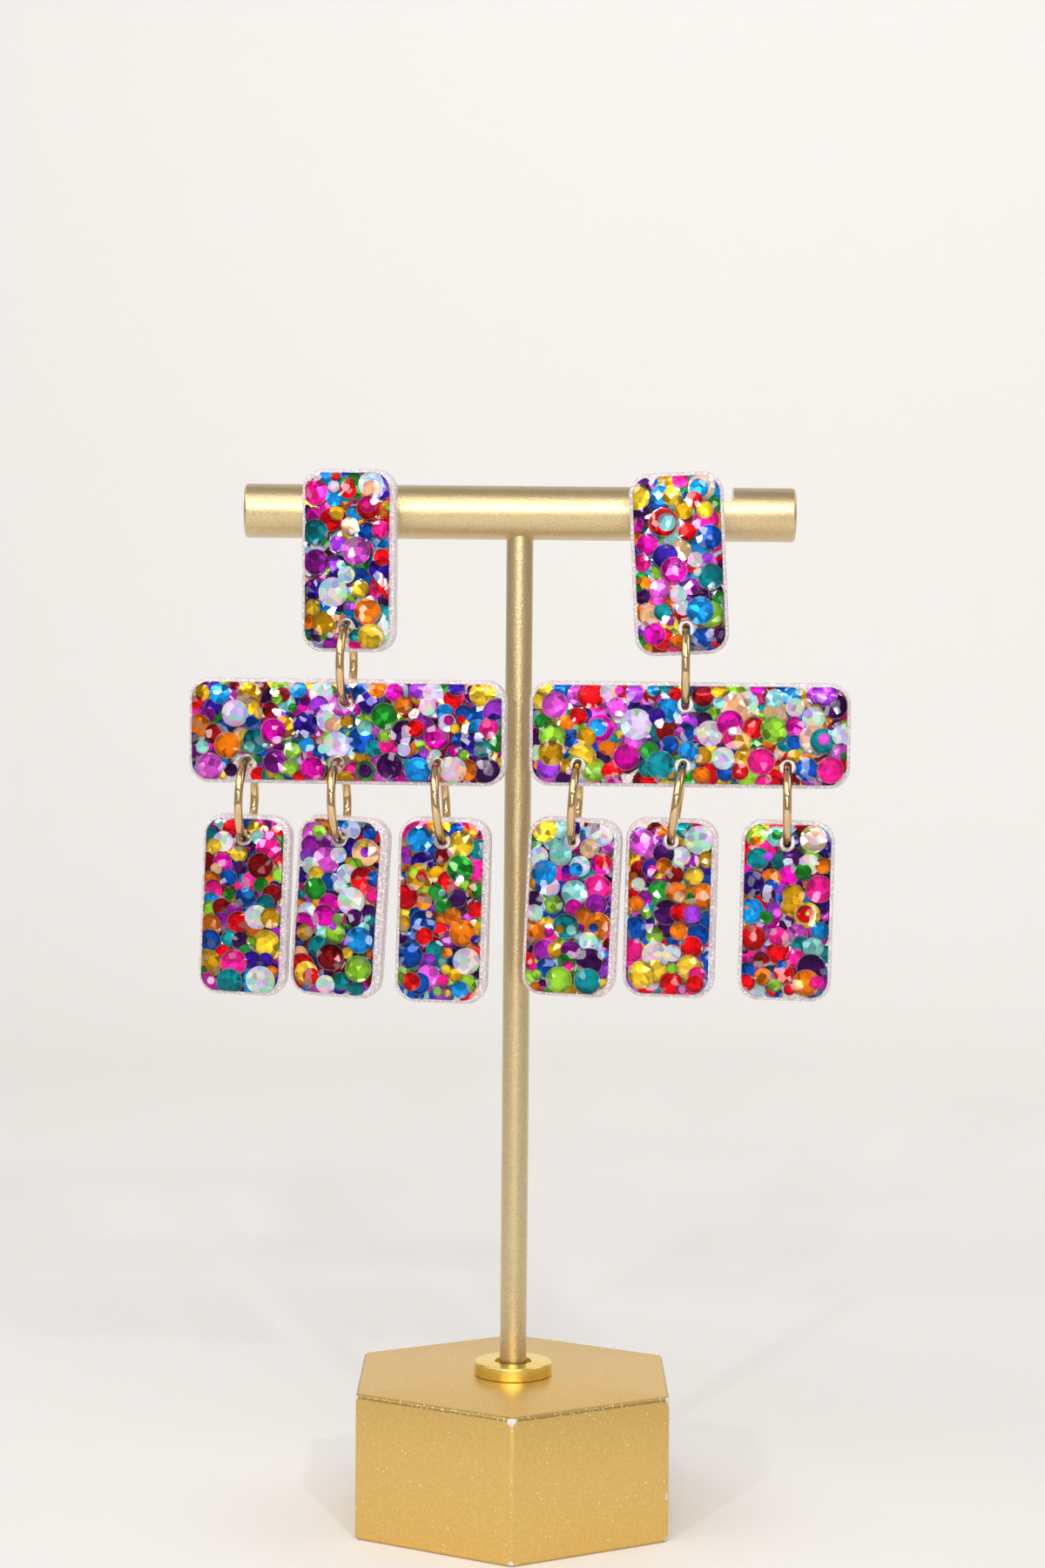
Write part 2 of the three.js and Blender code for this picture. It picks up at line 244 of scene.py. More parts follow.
def closed_rows(rows):
    """A closed surface through R rows of C points, with its first and last rows filled by one face each."""
    count, around = rows.shape[:2]
    faces = quads(count, around, wrap=True).tolist()
    faces.append(list(range(around))[::-1])
    faces.append(list(range((count - 1) * around, count * around)))
    return rows.reshape(-1, 3), faces


def lathe(profile, sides):
    """A turned body about Z: x = r cos a, y = r sin a through rows of (r, z), the lowest first."""
    angle = np.linspace(0, 2 * math.pi, sides, endpoint=False)
    radius, level = np.array(profile, float).T
    rows = np.empty((len(radius), sides, 3))
    rows[..., 0] = radius[:, None] * np.cos(angle)
    rows[..., 1] = radius[:, None] * np.sin(angle)
    rows[..., 2] = level[:, None]
    return closed_rows(rows)


def make(name, shape, finish, body, nodes, colours=None):
    """A smooth mesh object from a shape in mm that rides on a body and stands for CAD nodes."""
    points, faces = shape
    mesh = bpy.data.meshes.new(name)
    mesh.from_pydata((points * MM).tolist(), [], [list(face) for face in faces])
    mesh.shade_smooth()
    mesh.set_sharp_from_angle(angle=math.radians(38))
    if colours is not None:
        layer = mesh.color_attributes.new("film", "FLOAT_COLOR", "POINT")
        layer.data.foreach_set("color", np.ascontiguousarray(colours, np.float32).ravel())
    mesh.materials.append(finish)
    obj = bpy.data.objects.new(name, mesh)
    bpy.context.scene.collection.objects.link(obj)
    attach(obj, body)
    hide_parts(*nodes)
    return obj


def sizes(group):
    """The lengths of a settings group in mm."""
    values = getattr(bpy.context.scene, group)
    names = values.__annotations__
    return {name: getattr(values, name) / MM for name in names if isinstance(getattr(values, name), float)}


# Tiles


def edge_distance(x, z, half_width, half_height, radius):
    """Distance inside a rounded rectangle: r - hypot(max(q, 0)) - min(max(q), 0), q = |p| - half + r."""
    across = np.abs(x) - half_width + radius
    up = np.abs(z) - half_height + radius
    outside = np.hypot(np.maximum(across, 0), np.maximum(up, 0))
    return radius - outside - np.minimum(np.maximum(across, up), 0)


def grid_lines(half, edge, spacing):
    """Grid lines from -half to half, at the edge insets near both ends and evenly spaced between them."""
    inner = half - edge[-1]
    middle = np.linspace(-inner, inner, int(np.ceil(2 * inner / spacing)) + 1)
    return np.concatenate([edge[:-1] - half, middle, (half - edge[:-1])[::-1]])


def tile_grid(width, height, radius, edge, spacing, holes, hole_radius):
    """A grid laid on a rounded rectangle with round holes.

    In a corner square the point (a, b) goes to (a, b) max(a, b)/hypot(a, b), which makes it a quarter circle.
    Round a hole the nodes within k steps go to hole + R d/|d|, which fades out over the next steps.
    Returns x, z, the mask of the cells that no hole takes away, and each hole's block."""
    xs = grid_lines(width / 2, edge, spacing)
    zs = grid_lines(height / 2, edge, spacing)
    x, z = np.meshgrid(xs, zs, indexing="ij")
    across = np.maximum(np.abs(x) - width / 2 + radius, 0)
    up = np.maximum(np.abs(z) - height / 2 + radius, 0)
    pull = np.maximum(across, up) / np.maximum(np.hypot(across, up), 1e-9)
    corner = (across > 0) & (up > 0)
    x = np.where(corner, np.sign(x) * (width / 2 - radius + across * pull), x)
    z = np.where(corner, np.sign(z) * (height / 2 - radius + up * pull), z)
    cells = np.ones((len(xs) - 1, len(zs) - 1), bool)
    reach = max(2, int(round(hole_radius / spacing)))
    fade = 3
    blocks = []
    i, j = np.meshgrid(np.arange(len(xs)), np.arange(len(zs)), indexing="ij")
    for hole_x, hole_z in holes:
        ci = int(np.argmin(np.abs(xs - hole_x)))
        cj = int(np.argmin(np.abs(zs - hole_z)))
        steps = np.maximum(np.abs(i - ci), np.abs(j - cj))
        dx, dz = x - hole_x, z - hole_z
        away = np.maximum(np.hypot(dx, dz), 1e-9)
        target = hole_radius + np.maximum(steps - reach, 0) * spacing
        weight = np.clip(1 - (steps - reach) / fade, 0, 1)
        x = x + weight * (hole_x + target * dx / away - x)
        z = z + weight * (hole_z + target * dz / away - z)
        cells[ci - reach : ci + reach, cj - reach : cj + reach] = False
        blocks.append((ci, cj, reach))
    return x, z, cells, blocks


def rim_of(index):
    """The outer nodes of an index block in order, running along its first axis first."""
    return np.concatenate([index[:-1, 0], index[-1, :-1], index[:0:-1, -1], index[0, :0:-1]])


def tile_shape(grid, front, back):
    """A closed tile between a front and a back height (y) over a tile grid, with open round holes."""
    x, z, cells, blocks = grid
    count = x.size
    index = np.arange(count).reshape(x.shape)
    points = np.concatenate([np.stack([x, y, z], -1).reshape(-1, 3) for y in (front, back)])
    cell = np.stack([index[:-1, :-1], index[1:, :-1], index[1:, 1:], index[:-1, 1:]], -1)[cells]
    faces = [*cell.tolist(), *(cell[:, ::-1] + count).tolist()]
    outer = rim_of(index)
    after = np.roll(outer, -1)
    faces += np.stack([outer, outer + count, after + count, after], -1).tolist()
    for ci, cj, reach in blocks:
        loop = rim_of(index[ci - reach : ci + reach + 1, cj - reach : cj + reach + 1])
        after = np.roll(loop, -1)
        faces += np.stack([loop, after, after + count, loop + count], -1).tolist()
    used = np.unique(np.concatenate([np.ravel(face) for face in faces]))
    order = np.full(2 * count, -1)
    order[used] = np.arange(len(used))
    return points[used], [order[face].tolist() for face in faces]


def quarter(distance, reach):
    """Height of a quarter ellipse at a distance from its edge: sqrt(1 - (1 - d/reach)^2)."""
    share = np.clip(distance / reach, 0, 1)
    return np.sqrt(np.maximum(1 - (1 - share) ** 2, 0))


def slab_shape(t, width, height, holes):
    """A tile's pearl slab with rounded edges."""
    width, height = width - 2 * t["slab_shrink"], height - 2 * t["slab_shrink"]
    edge = t["slab_round"] * (1 - np.cos(np.linspace(0, math.pi / 2, 6)))
    grid = tile_grid(width, height, t["corner_radius"], edge, t["slab_grid"], holes, t["hole_diameter"] / 2)
    distance = edge_distance(grid[0], grid[1], width / 2, height / 2, t["corner_radius"])
    drop = t["slab_round"] * (1 - quarter(distance, t["slab_round"]))
    return tile_shape(grid, drop - t["slab_front"], t["thickness"] / 2 - drop)


def dome_front(t, x, z, width, height, holes):
    """Height (y) of the dome's front: it rises as a quarter ellipse from its edge and dips round holes."""
    half = width / 2 - t["margin"], height / 2 - t["margin"]
    distance = edge_distance(x, z, *half, t["corner_radius"] - t["margin"])
    full = t["thickness"] / 2 - t["slab_front"] - 0.1
    rise = full - t["round_out"] * (1 - quarter(distance, t["round_in"]))
    for hole_x, hole_z in holes:
        away = np.hypot(x - hole_x, z - hole_z) - t["hole_diameter"] / 2
        rise = rise - HOLE_DIP * (1 - quarter(away, HOLE_DIP_WIDTH))
    return -t["slab_front"] - rise


def face_shape(t, width, height, holes, dots):
    """The clear domed face: the dome with a low swelling over each upper dot.

    At a distance r from the middle of a dot of radius R it is s q (1 - (r/1.15 R)^2), with the dot's own
    height s and a quarter ellipse q that fades it at the dome's edge."""
    edge = 0.45 * (1 - np.cos(np.linspace(0, math.pi / 2, 5)))
    outer = width - 2 * t["margin"], height - 2 * t["margin"]
    radius = t["corner_radius"] - t["margin"]
    grid = tile_grid(*outer, radius, edge, t["face_grid"], holes, t["hole_diameter"] / 2)
    x, z = grid[:2]
    front = dome_front(t, x, z, width, height, holes)
    swell = np.zeros_like(front)
    for dot in dots[dots[:, 7] > 0]:
        away = np.hypot(x - dot[0], z - dot[1]) / (1.15 * dot[2])
        swell = np.maximum(swell, dot[7] * np.clip(1 - away**2, 0, 1))
    inside = edge_distance(x, z, outer[0] / 2, outer[1] / 2, radius)
    front = front - swell * quarter(inside, 0.8) - 0.02
    back = np.full_like(front, 0.12 - t["slab_front"])
    return tile_shape(grid, front, back)


def charted(name):
    """A tile's charted dots as (x, z, diameter, film) in mm about its middle."""
    middle_x, middle_z = CHART_MIDDLES[name]
    words = iter(CHARTS[name].split())
    step = CHART_STEP
    return [
        ((int(across) - middle_x) * step, (middle_z - int(down)) * step, int(size) * step, film)
        for across, down, size, film in zip(words, words, words, words)
    ]


def scatter(t, rng, width, height, holes, chart):
    """Rows of dots (x, z, radius, level, lean x, lean z, film, swelling) from the lowest to the uppermost.

    Four scattered layers cover the tile, small dots lie on them and the charted dots lie on top."""
    weights = np.array([often for _, often in FILMS.values()], float)
    weights /= weights.sum()
    half_width, half_height = width / 2 - t["margin"], height / 2 - t["margin"]
    rows = []
    for radius, spacing, level in SCATTER_LAYERS:
        xs = np.arange(-half_width + 0.3, half_width, spacing)
        zs = np.arange(-half_height + 0.3, half_height, spacing)
        x, z = np.meshgrid(xs, zs)
        x = x.ravel() + rng.uniform(-0.45, 0.45, x.size) * spacing
        z = z.ravel() + rng.uniform(-0.45, 0.45, z.size) * spacing
        for px, pz in zip(x, z):
            film = rng.choice(len(FILM_NAMES), p=weights)
            lean = rng.uniform(-0.05, 0.05, 2)
            rows.append((px, pz, radius, level + rng.uniform(0, 0.08), *lean, film, 0.0))
    small = rng.uniform(-1, 1, (int(width * height / 14), 2)) * (half_width, half_height)
    for px, pz in small:
        film = rng.choice(len(FILM_NAMES), p=weights)
        lean = rng.uniform(-0.05, 0.05, 2)
        rows.append((px, pz, 0.55, 0.43 + rng.uniform(0, 0.05), *lean, film, SMALL_SWELL))
    upper = []
    for px, pz, diameter, film in chart:
        under = [dot[3] for dot in upper if math.hypot(px - dot[0], pz - dot[1]) < diameter / 2 + dot[2]]
        lean = rng.uniform(-0.004, 0.004, 2)
        upper.append([px, pz, diameter / 2, max(under, default=0) + 1, *lean, FILM_NAMES.index(film), SWELL])
    deepest = max(dot[3] for dot in upper)
    for dot in upper:
        dot[3] = 0.53 + 0.43 * dot[3] / deepest
    dots = np.array(rows + upper)
    keep = edge_distance(dots[:, 0], dots[:, 1], half_width, half_height, 1.8) > 0.1
    for hole_x, hole_z in holes:
        away = np.hypot(dots[:, 0] - hole_x, dots[:, 1] - hole_z)
        hole = t["hole_diameter"] / 2 + HOLE_CLEARANCE
        keep &= (away > hole + 0.04) | ((dots[:, 7] > SMALL_SWELL) & (away < dots[:, 2] - hole - 0.1))
    return dots[keep]


def dot_shape(t, rng, width, height, holes, dots, bare):
    """Thin film discs: a fan (with a ring at 0.6 of the radius if it is charted), an edge and a flat back.

    A disc's share of the dome's rise is level + lean . p + cup r^2. Where a hole cuts a disc, it ends where a
    ray from its centre first meets the hole, and a disc centred in a hole starts where the ray leaves it. The
    right rim stays bare. Also returns each point's film colour, and its place (u, v) on its disc with a
    number drawn for that disc."""
    half_width, half_height = width / 2 - t["margin"] - 0.05 - bare / 2, height / 2 - t["margin"] - 0.05
    corner = t["corner_radius"] - t["margin"]
    hole = t["hole_diameter"] / 2 + HOLE_CLEARANCE
    palette = np.array([linear(code) for code, _ in FILMS.values()])
    parts, tints, places = [], [], []
    for x0, z0, radius, level, lean_x, lean_z, film, swell in dots:
        upper = swell > SMALL_SWELL
        large, middling = radius > 1.2, radius > 0.8
        sides = (20 if large else 16 if middling else 12) if upper else (14 if large else 10)
        angle = np.linspace(0, 2 * math.pi, sides, endpoint=False)
        way_x, way_z = np.cos(angle), np.sin(angle)
        reach = np.full(sides, radius)
        inner = np.zeros(sides)
        for hole_x, hole_z in holes:
            along = (hole_x - x0) * way_x + (hole_z - z0) * way_z
            apart = (hole_x - x0) ** 2 + (hole_z - z0) ** 2
            half = np.sqrt(np.maximum(hole**2 - apart + along**2, 0))
            if apart < hole**2:
                inner = along + half
            else:
                reach = np.where((half > 0) & (along > 0), np.minimum(reach, along - half), reach)
        rings = np.array([0.0, 0.6, 1.0] if upper else [0.0, 1.0])[:, None]
        outward = inner + rings * (reach - inner)
        x, z = x0 + outward * way_x, z0 + outward * way_z
        for _ in range(2):
            over = -edge_distance(x + bare / 2, z, half_width, half_height, corner)
            beyond = np.maximum(over, 0)
            step = 1e-3
            slope_x = (edge_distance(x + bare / 2 + step, z, half_width, half_height, corner) + over) / step
            slope_z = (edge_distance(x + bare / 2, z + step, half_width, half_height, corner) + over) / step
            x = x + beyond * slope_x
            z = z + beyond * slope_z
        share = level + lean_x * (x - x0) + lean_z * (z - z0) + rng.uniform(-0.008, 0.004) * rings**2
        rise = -t["slab_front"] - dome_front(t, x, z, width, height, holes)
        y = -t["slab_front"] - np.clip(share, 0.03, 0.97) * np.maximum(rise - 0.04, 0.05)
        front = np.stack([x, y, z], -1)
        if inner.any():
            rows = np.concatenate([front, (front + (0, FILM_THICKNESS, 0))[::-1], front[:1]])
            faces = quads(len(rows), sides, wrap=True)[:, ::-1]
            faces = (faces % (sides * (len(rows) - 1))).tolist()
            points = rows[:-1].reshape(-1, 3)
        else:
            back = front[-1:] + (0, FILM_THICKNESS, 0)
            rows = np.concatenate([front[1:], back])
            points = np.concatenate([front[0, :1], rows.reshape(-1, 3)])
            fan = np.arange(sides)
            faces = np.stack([np.zeros(sides, int), 1 + fan, 1 + np.roll(fan, -1)], -1).tolist()
            faces += quads(len(rows), sides, wrap=True, start=1)[:, ::-1].tolist()
            faces.append((1 + (len(rows) - 1) * sides + fan[::-1]).tolist())
        shade = np.clip(palette[int(film)] * rng.uniform(0.85, 1.15), 0, 1)
        own = np.append(shade, PALE_FILMS.get(FILM_NAMES[int(film)], 0.0))
        parts.append((points, faces))
        tints.append(np.tile(own, (len(points), 1)))
        flat = (points[:, ::2] - (x0, z0)) / radius
        places.append(np.column_stack([flat, np.full(len(points), rng.uniform())]))
    return join(parts), np.concatenate(tints), np.concatenate(places)


# Finishes


def add(tree, kind, inputs=None, **settings):
    """Adds a node, sets its settings and fills its inputs with values or links."""
    made = tree.nodes.new(kind)
    for name, value in settings.items():
        setattr(made, name, value)
    for name, value in (inputs or {}).items():
        if isinstance(value, bpy.types.NodeSocket):
            tree.links.new(value, made.inputs[name])
        else:
            made.inputs[name].default_value = value
    return made


def new_finish(name):
    """A named material with an empty node tree: the material, its tree and its Object coordinates."""
    finish = bpy.data.materials.new(name)
    finish.use_nodes = True
    tree = finish.node_tree
    tree.nodes.clear()
    return finish, tree, add(tree, "ShaderNodeTexCoord").outputs["Object"]


def output(tree, shader):
    """Ends a tree in its surface output."""
    add(tree, "ShaderNodeOutputMaterial", {"Surface": shader})


def rgba(values):
    """A colour property with full alpha."""
    return (*values, 1.0)


def calc(tree, operation, *values):
    """The result of a math node on values or links."""
    return add(tree, "ShaderNodeMath", dict(enumerate(values)), operation=operation).outputs["Value"]


def vector(tree, operation, *values, result="Vector", **named):
    """The result of a vector math node on values or links."""
    inputs = dict(enumerate(values)) | named
    return add(tree, "ShaderNodeVectorMath", inputs, operation=operation).outputs[result]


def ranged(tree, value, low, high, to_low=0.0, to_high=1.0, steps="LINEAR"):
    """A value taken from one range to another and held at its ends."""
    inputs = {"Value": value, "From Min": low, "From Max": high, "To Min": to_low, "To Max": to_high}
    return add(tree, "ShaderNodeMapRange", inputs, interpolation_type=steps).outputs["Result"]


def mixed(tree, share, first, second):
    """A mix of two colours."""
    inputs = {"Factor": share, "A": first, "B": second}
    return add(tree, "ShaderNodeMix", inputs, data_type="RGBA").outputs["Result"]


def lighter(tree, shade, level):
    """A colour made lighter or darker by a level."""
    return add(tree, "ShaderNodeHueSaturation", {"Color": shade, "Value": level}).outputs["Color"]


def noise(tree, where, size, detail):
    """Noise from 0 to 1 with grains of a size in mm."""
    inputs = {"Vector": where, "Scale": 1 / (size * MM), "Detail": detail}
    return add(tree, "ShaderNodeTexNoise", inputs).outputs["Fac"]


def cells(tree, where, size):
    """Voronoi cells of a size in mm: the outputs, and the parts of the colour drawn for each cell."""
    texture = add(tree, "ShaderNodeTexVoronoi", {"Vector": where, "Scale": 1 / (size * MM)}).outputs
    return texture, add(tree, "ShaderNodeSeparateColor", {"Color": texture["Color"]}).outputs


def grit_bump(tree, where, size, strength, height):
    """Normal of a fine grit: noise with grains of a size and height in mm."""
    inputs = {"Height": noise(tree, where, size, 3.0), "Strength": strength, "Distance": height * MM}
    return add(tree, "ShaderNodeBump", inputs).outputs["Normal"]


def crumpled(tree, texture, amount):
    """The normal leaned at random in each cell: unit(n + amount (colour - 0.5))."""
    lean = vector(tree, "SUBTRACT", texture["Color"], (0.5, 0.5, 0.5))
    normal = add(tree, "ShaderNodeNewGeometry").outputs["Normal"]
    return vector(tree, "NORMALIZE", vector(tree, "ADD", normal, vector(tree, "SCALE", lean, Scale=amount)))


def principled(tree, inputs):
    """Ends a tree in a principled shader."""
    output(tree, add(tree, "ShaderNodeBsdfPrincipled", inputs).outputs["BSDF"])


def metal(name, shade, roughness, grain=0.0, strength=0.0, speckle=0.0, coat=0.0):
    """A metal or metal paint with an even colour, a fine grain, light specks and a clear coat."""
    finish, tree, where = new_finish(name)
    base = rgba(shade)
    if speckle:
        cloud = ranged(tree, noise(tree, where, 0.22, 2.0), 0.3, 0.7, -speckle, speckle)
        base = lighter(tree, base, calc(tree, "ADD", cloud, 1.0))
    inputs = {"Base Color": base, "Metallic": 1.0, "Roughness": roughness}
    if coat:
        inputs |= {"Coat Weight": coat, "Coat Roughness": 0.3, "Coat IOR": 1.65}
    if grain:
        inputs["Normal"] = grit_bump(tree, where, grain, strength, GRIT_HEIGHT)
    principled(tree, inputs)
    return finish


def base_paint(shades, height, corner):
    """Satin gold paint: even on the sides, painted darker on the bevel as painted shade, with painted glints
    as bright specks that are thickest on the bevel, chipped to pale primer at the corners.
    """
    finish, tree, where = new_finish("satin_gold_paint")
    split = add(tree, "ShaderNodeSeparateXYZ", {"Vector": where}).outputs
    out = vector(tree, "LENGTH", vector(tree, "MULTIPLY", where, (1.0, 1.0, 0.0)), result="Value")
    edge = ranged(tree, out, (corner - 0.55) * MM, (corner - 0.1) * MM, steps="SMOOTHSTEP")
    facing = add(tree, "ShaderNodeNewGeometry").outputs["True Normal"]
    up = add(tree, "ShaderNodeSeparateXYZ", {"Vector": facing}).outputs["Z"]
    bevel = calc(tree, "MULTIPLY", calc(tree, "GREATER_THAN", up, 0.1), calc(tree, "LESS_THAN", up, 0.97))
    near_top = ranged(tree, split["Z"], (height - 1.6) * MM, (height - 0.2) * MM)
    near_foot = ranged(tree, split["Z"], 0.9 * MM, 0.1 * MM)
    corners = calc(tree, "MULTIPLY", calc(tree, "MAXIMUM", near_top, near_foot), edge)
    likely = calc(tree, "MULTIPLY_ADD", corners, 0.37, noise(tree, where, 1.1, 4.0))
    chip = ranged(tree, calc(tree, "MULTIPLY_ADD", edge, 0.26, likely), 0.9, 0.96)
    # Painted glints: small bright specks on a few cells everywhere and on half the cells of the bevel.
    texture, parts = cells(tree, where, 0.3)
    rare = calc(tree, "GREATER_THAN", parts["Green"], 0.975)
    rimmed = calc(tree, "MULTIPLY", calc(tree, "GREATER_THAN", parts["Green"], 0.5), bevel)
    small = calc(tree, "LESS_THAN", texture["Distance"], 0.3)
    spark = calc(tree, "MULTIPLY", calc(tree, "MAXIMUM", rare, rimmed), small)
    cloud = ranged(tree, noise(tree, where, 0.3, 3.0), 0.3, 0.7, 0.93, 1.07)
    # Painted shade: the bevel is painted 35% darker than the sides; the noise cloud over it all is random
    # tone.
    gold = lighter(tree, rgba(shades.base_gold), calc(tree, "MULTIPLY_ADD", bevel, -0.35, cloud))
    lit = mixed(tree, spark, gold, rgba(shades.base_painted_glint))
    inputs = {
        "Base Color": mixed(tree, chip, lit, rgba(shades.base_primer)),
        "Metallic": ranged(tree, chip, 0.0, 1.0, 0.85, 0.0),
        "Roughness": 0.38,
        "Normal": grit_bump(tree, where, 0.35, 0.3, 0.02),
    }
    principled(tree, inputs)
    return finish


def pearl_resin(shades):
    """Pearl resin: pinkish white and glossy, full of fine flakes that sparkle."""
    finish, tree, where = new_finish("pearl_glitter_resin")
    texture, parts = cells(tree, where, 0.16)
    bright = ranged(tree, parts["Red"], 0.7, 0.8)
    inputs = {
        "Base Color": mixed(tree, bright, rgba(shades.pearl), rgba(shades.glitter)),
        "Metallic": 0.0,
        "Roughness": 0.3,
        "Normal": crumpled(tree, texture, 0.55),
        "Coat Weight": 0.4,
        "Coat Roughness": 0.15,
    }
    principled(tree, inputs)
    return finish


def film_dots():
    """Iridescent plastic film: saturated and crumpled in small facets, with a painted highlight along the cut
    edge.

    The colour is painted darker toward a disc's rim as painted shade, with a painted gradient of light and
    shade up or down each disc. Each facet is painted lighter or darker at random as painted reflection, and a
    few are painted near white as painted highlights. The palest films are part see-through and change from
    facet to facet between pastels."""
    finish, tree, where = new_finish("iridescent_film_dots")
    film = add(tree, "ShaderNodeAttribute", attribute_name="film").outputs
    own, pale = film["Color"], film["Alpha"]
    texture, parts = cells(tree, where, 0.75)
    disc = add(tree, "ShaderNodeAttribute", attribute_name="disc").outputs["Vector"]
    split = add(tree, "ShaderNodeSeparateXYZ", {"Vector": disc}).outputs
    out = vector(tree, "LENGTH", vector(tree, "MULTIPLY", disc, (1.0, 1.0, 0.0)), result="Value")
    # Painted shade and light: the film darkens from 0.55 to 0.92 of a disc's radius, and a painted gradient
    # of light and shade runs up or down each disc, by a number drawn for that disc.
    ring = ranged(tree, out, 0.55, 0.92, 1.0, 0.62, "SMOOTHSTEP")
    painted_slant = calc(tree, "MULTIPLY", calc(tree, "SUBTRACT", split["Z"], 0.5), split["Y"])
    shade = calc(tree, "MULTIPLY_ADD", painted_slant, 0.9, ring)
    # Painted reflection: each facet of the crumpled film is painted 0.55 to 1.45 times as bright, at random.
    level = ranged(tree, parts["Red"], 0.0, 1.0, 0.55, 1.45)
    base = lighter(tree, own, calc(tree, "MULTIPLY", shade, level))
    # Painted highlight: the cut edge, from 0.92 to 0.97 of the radius, is painted up to 15% toward near
    # white.
    base = mixed(tree, ranged(tree, out, 0.92, 0.97, 0.0, 0.15), base, (1.0, 0.96, 0.94, 1.0))
    # Painted highlights: facets whose drawn blue part is over 0.85 are painted up to 20% toward near white.
    base = mixed(tree, ranged(tree, parts["Blue"], 0.85, 0.9, 0.0, 0.2), base, (1.0, 0.98, 0.96, 1.0))
    pastel = vector(tree, "MULTIPLY_ADD", texture["Color"], (0.8, 0.8, 0.8), (0.34, 0.38, 0.44))
    inputs = {
        "Base Color": mixed(tree, calc(tree, "MULTIPLY", pale, 0.85), base, pastel),
        "Metallic": ranged(tree, pale, 0.0, 1.0, 0.7, 0.0),
        "Roughness": 0.2,
        "Specular IOR Level": 0.15,
        "Normal": crumpled(tree, texture, 0.35),
        "Alpha": ranged(tree, pale, 0.0, 1.0, 0.94, 0.5),
    }
    principled(tree, inputs)
    return finish


def clear_resin():
    """Clear cast resin: only its gloss shows, over what lies under it."""
    finish, tree, where = new_finish("clear_domed_resin")
    normal = grit_bump(tree, where, 1.3, 0.8, 0.13)
    edge = add(tree, "ShaderNodeFresnel", {"IOR": 1.2, "Normal": normal}).outputs["Fac"]
    clear = add(tree, "ShaderNodeBsdfTransparent", {"Color": (1.0, 1.0, 1.0, 1.0)}).outputs["BSDF"]
    gloss = add(tree, "ShaderNodeBsdfGlossy", {"Roughness": 0.04, "Normal": normal}).outputs["BSDF"]
    layers = {0: calc(tree, "MINIMUM", edge, 0.3), 1: clear, 2: gloss}
    output(tree, add(tree, "ShaderNodeMixShader", layers).outputs["Shader"])
    return finish


def finish_of(name):
    """The finish of a name, made once."""
    if name in bpy.data.materials:
        return bpy.data.materials[name]
    shades = bpy.context.scene.earring_finishes
    s = sizes("earring_stand")
    corner = s["base_across_flats"] / math.sqrt(3)
    makers = {
        "satin_gold_paint": lambda: base_paint(shades, s["base_height"], corner),
        "bright_anodised_gold": lambda: metal(name, shades.disc_gold, 0.24, 0.2, 0.1),
        "fine_grit_champagne_gold": lambda: metal(name, shades.bar_gold, 0.33, 0.2, 1.0, 0.12, 1.0),
        "polished_light_gold_plate": lambda: metal(name, shades.ring_gold, 0.07),
        "pale_gold_plated_steel": lambda: metal(name, shades.pin_gold, 0.18),
        "pearl_glitter_resin": lambda: pearl_resin(shades),
        "iridescent_film_dots": film_dots,
        "clear_domed_resin": clear_resin,
    }
    return makers[name]()


# Earrings

# Each drop: place along the bar, side shift of its hole, ring lean, turn and stretches, as in the CAD.
DROPS = {
    "left": (
        ("outer", -1.036, -0.026, -1.2, 0.0, 0.99, 0.995),
        ("middle", -0.093, -0.042, 2.5, -1.5, 1.02, 0.995),
        ("inner", 0.941, -0.016, 4.8, 1.0, 1.02, 1.015),
    ),
    "right": (
        ("inner", -1.14, -0.029, -3.4, -3.0, 1.04, 0.985),
        ("middle", -0.064, -0.013, -8.2, -2.0, 1.02, 0.985),
        ("outer", 1.006, -0.011, 0.4, -2.0, 1.03, 0.99),
    ),
}
# Each earring: its pin's place, turn, and the side shifts of pin, stud hole and bar hole.
EARRINGS = {
    "left": ((-18.8204, -5.9877, 114.9), -7.0, -0.02, -0.02, -0.002),
    "right": ((18.2572, -5.8565, 114.9), -3.0, 0.12, 0.048, -0.014),
}
# Where each ring's fine cut lies, in degrees: 0 at the back, 90 at the top, 180 at the front, 270 lowest.
RING_CUTS = {
    "left_ring_inner": 250.0,
    "left_ring_middle": 80.0,
    "left_ring_outer": 75.0,
    "left_ring_top": 100.0,
    "right_ring_inner": 95.0,
    "right_ring_middle": 60.0,
    "right_ring_outer": 85.0,
    "right_ring_top": 110.0,
}
# How much wider than the left rim the bare right rim of a tile is, in mm.
BARE_RIMS = {
    "left_drop_outer": 0.35,
    "left_drop_middle": 0.5,
    "left_drop_inner": 0.35,
    "left_stud": 0.2,
    "right_drop_inner": 0.4,
    "right_drop_middle": 0.3,
}
# Where the middle of each tile lies on the chart of dots.
CHART_MIDDLES = {
    "left_stud": (398, 643),
    "left_bar": (396, 841),
    "left_drop_outer": (279, 1040),
    "left_drop_middle": (388, 1042),
    "left_drop_inner": (507, 1046),
    "right_stud": (780, 647),
    "right_bar": (792, 844),
    "right_drop_inner": (656, 1043),
    "right_drop_middle": (769, 1043),
    "right_drop_outer": (903, 1047),
}
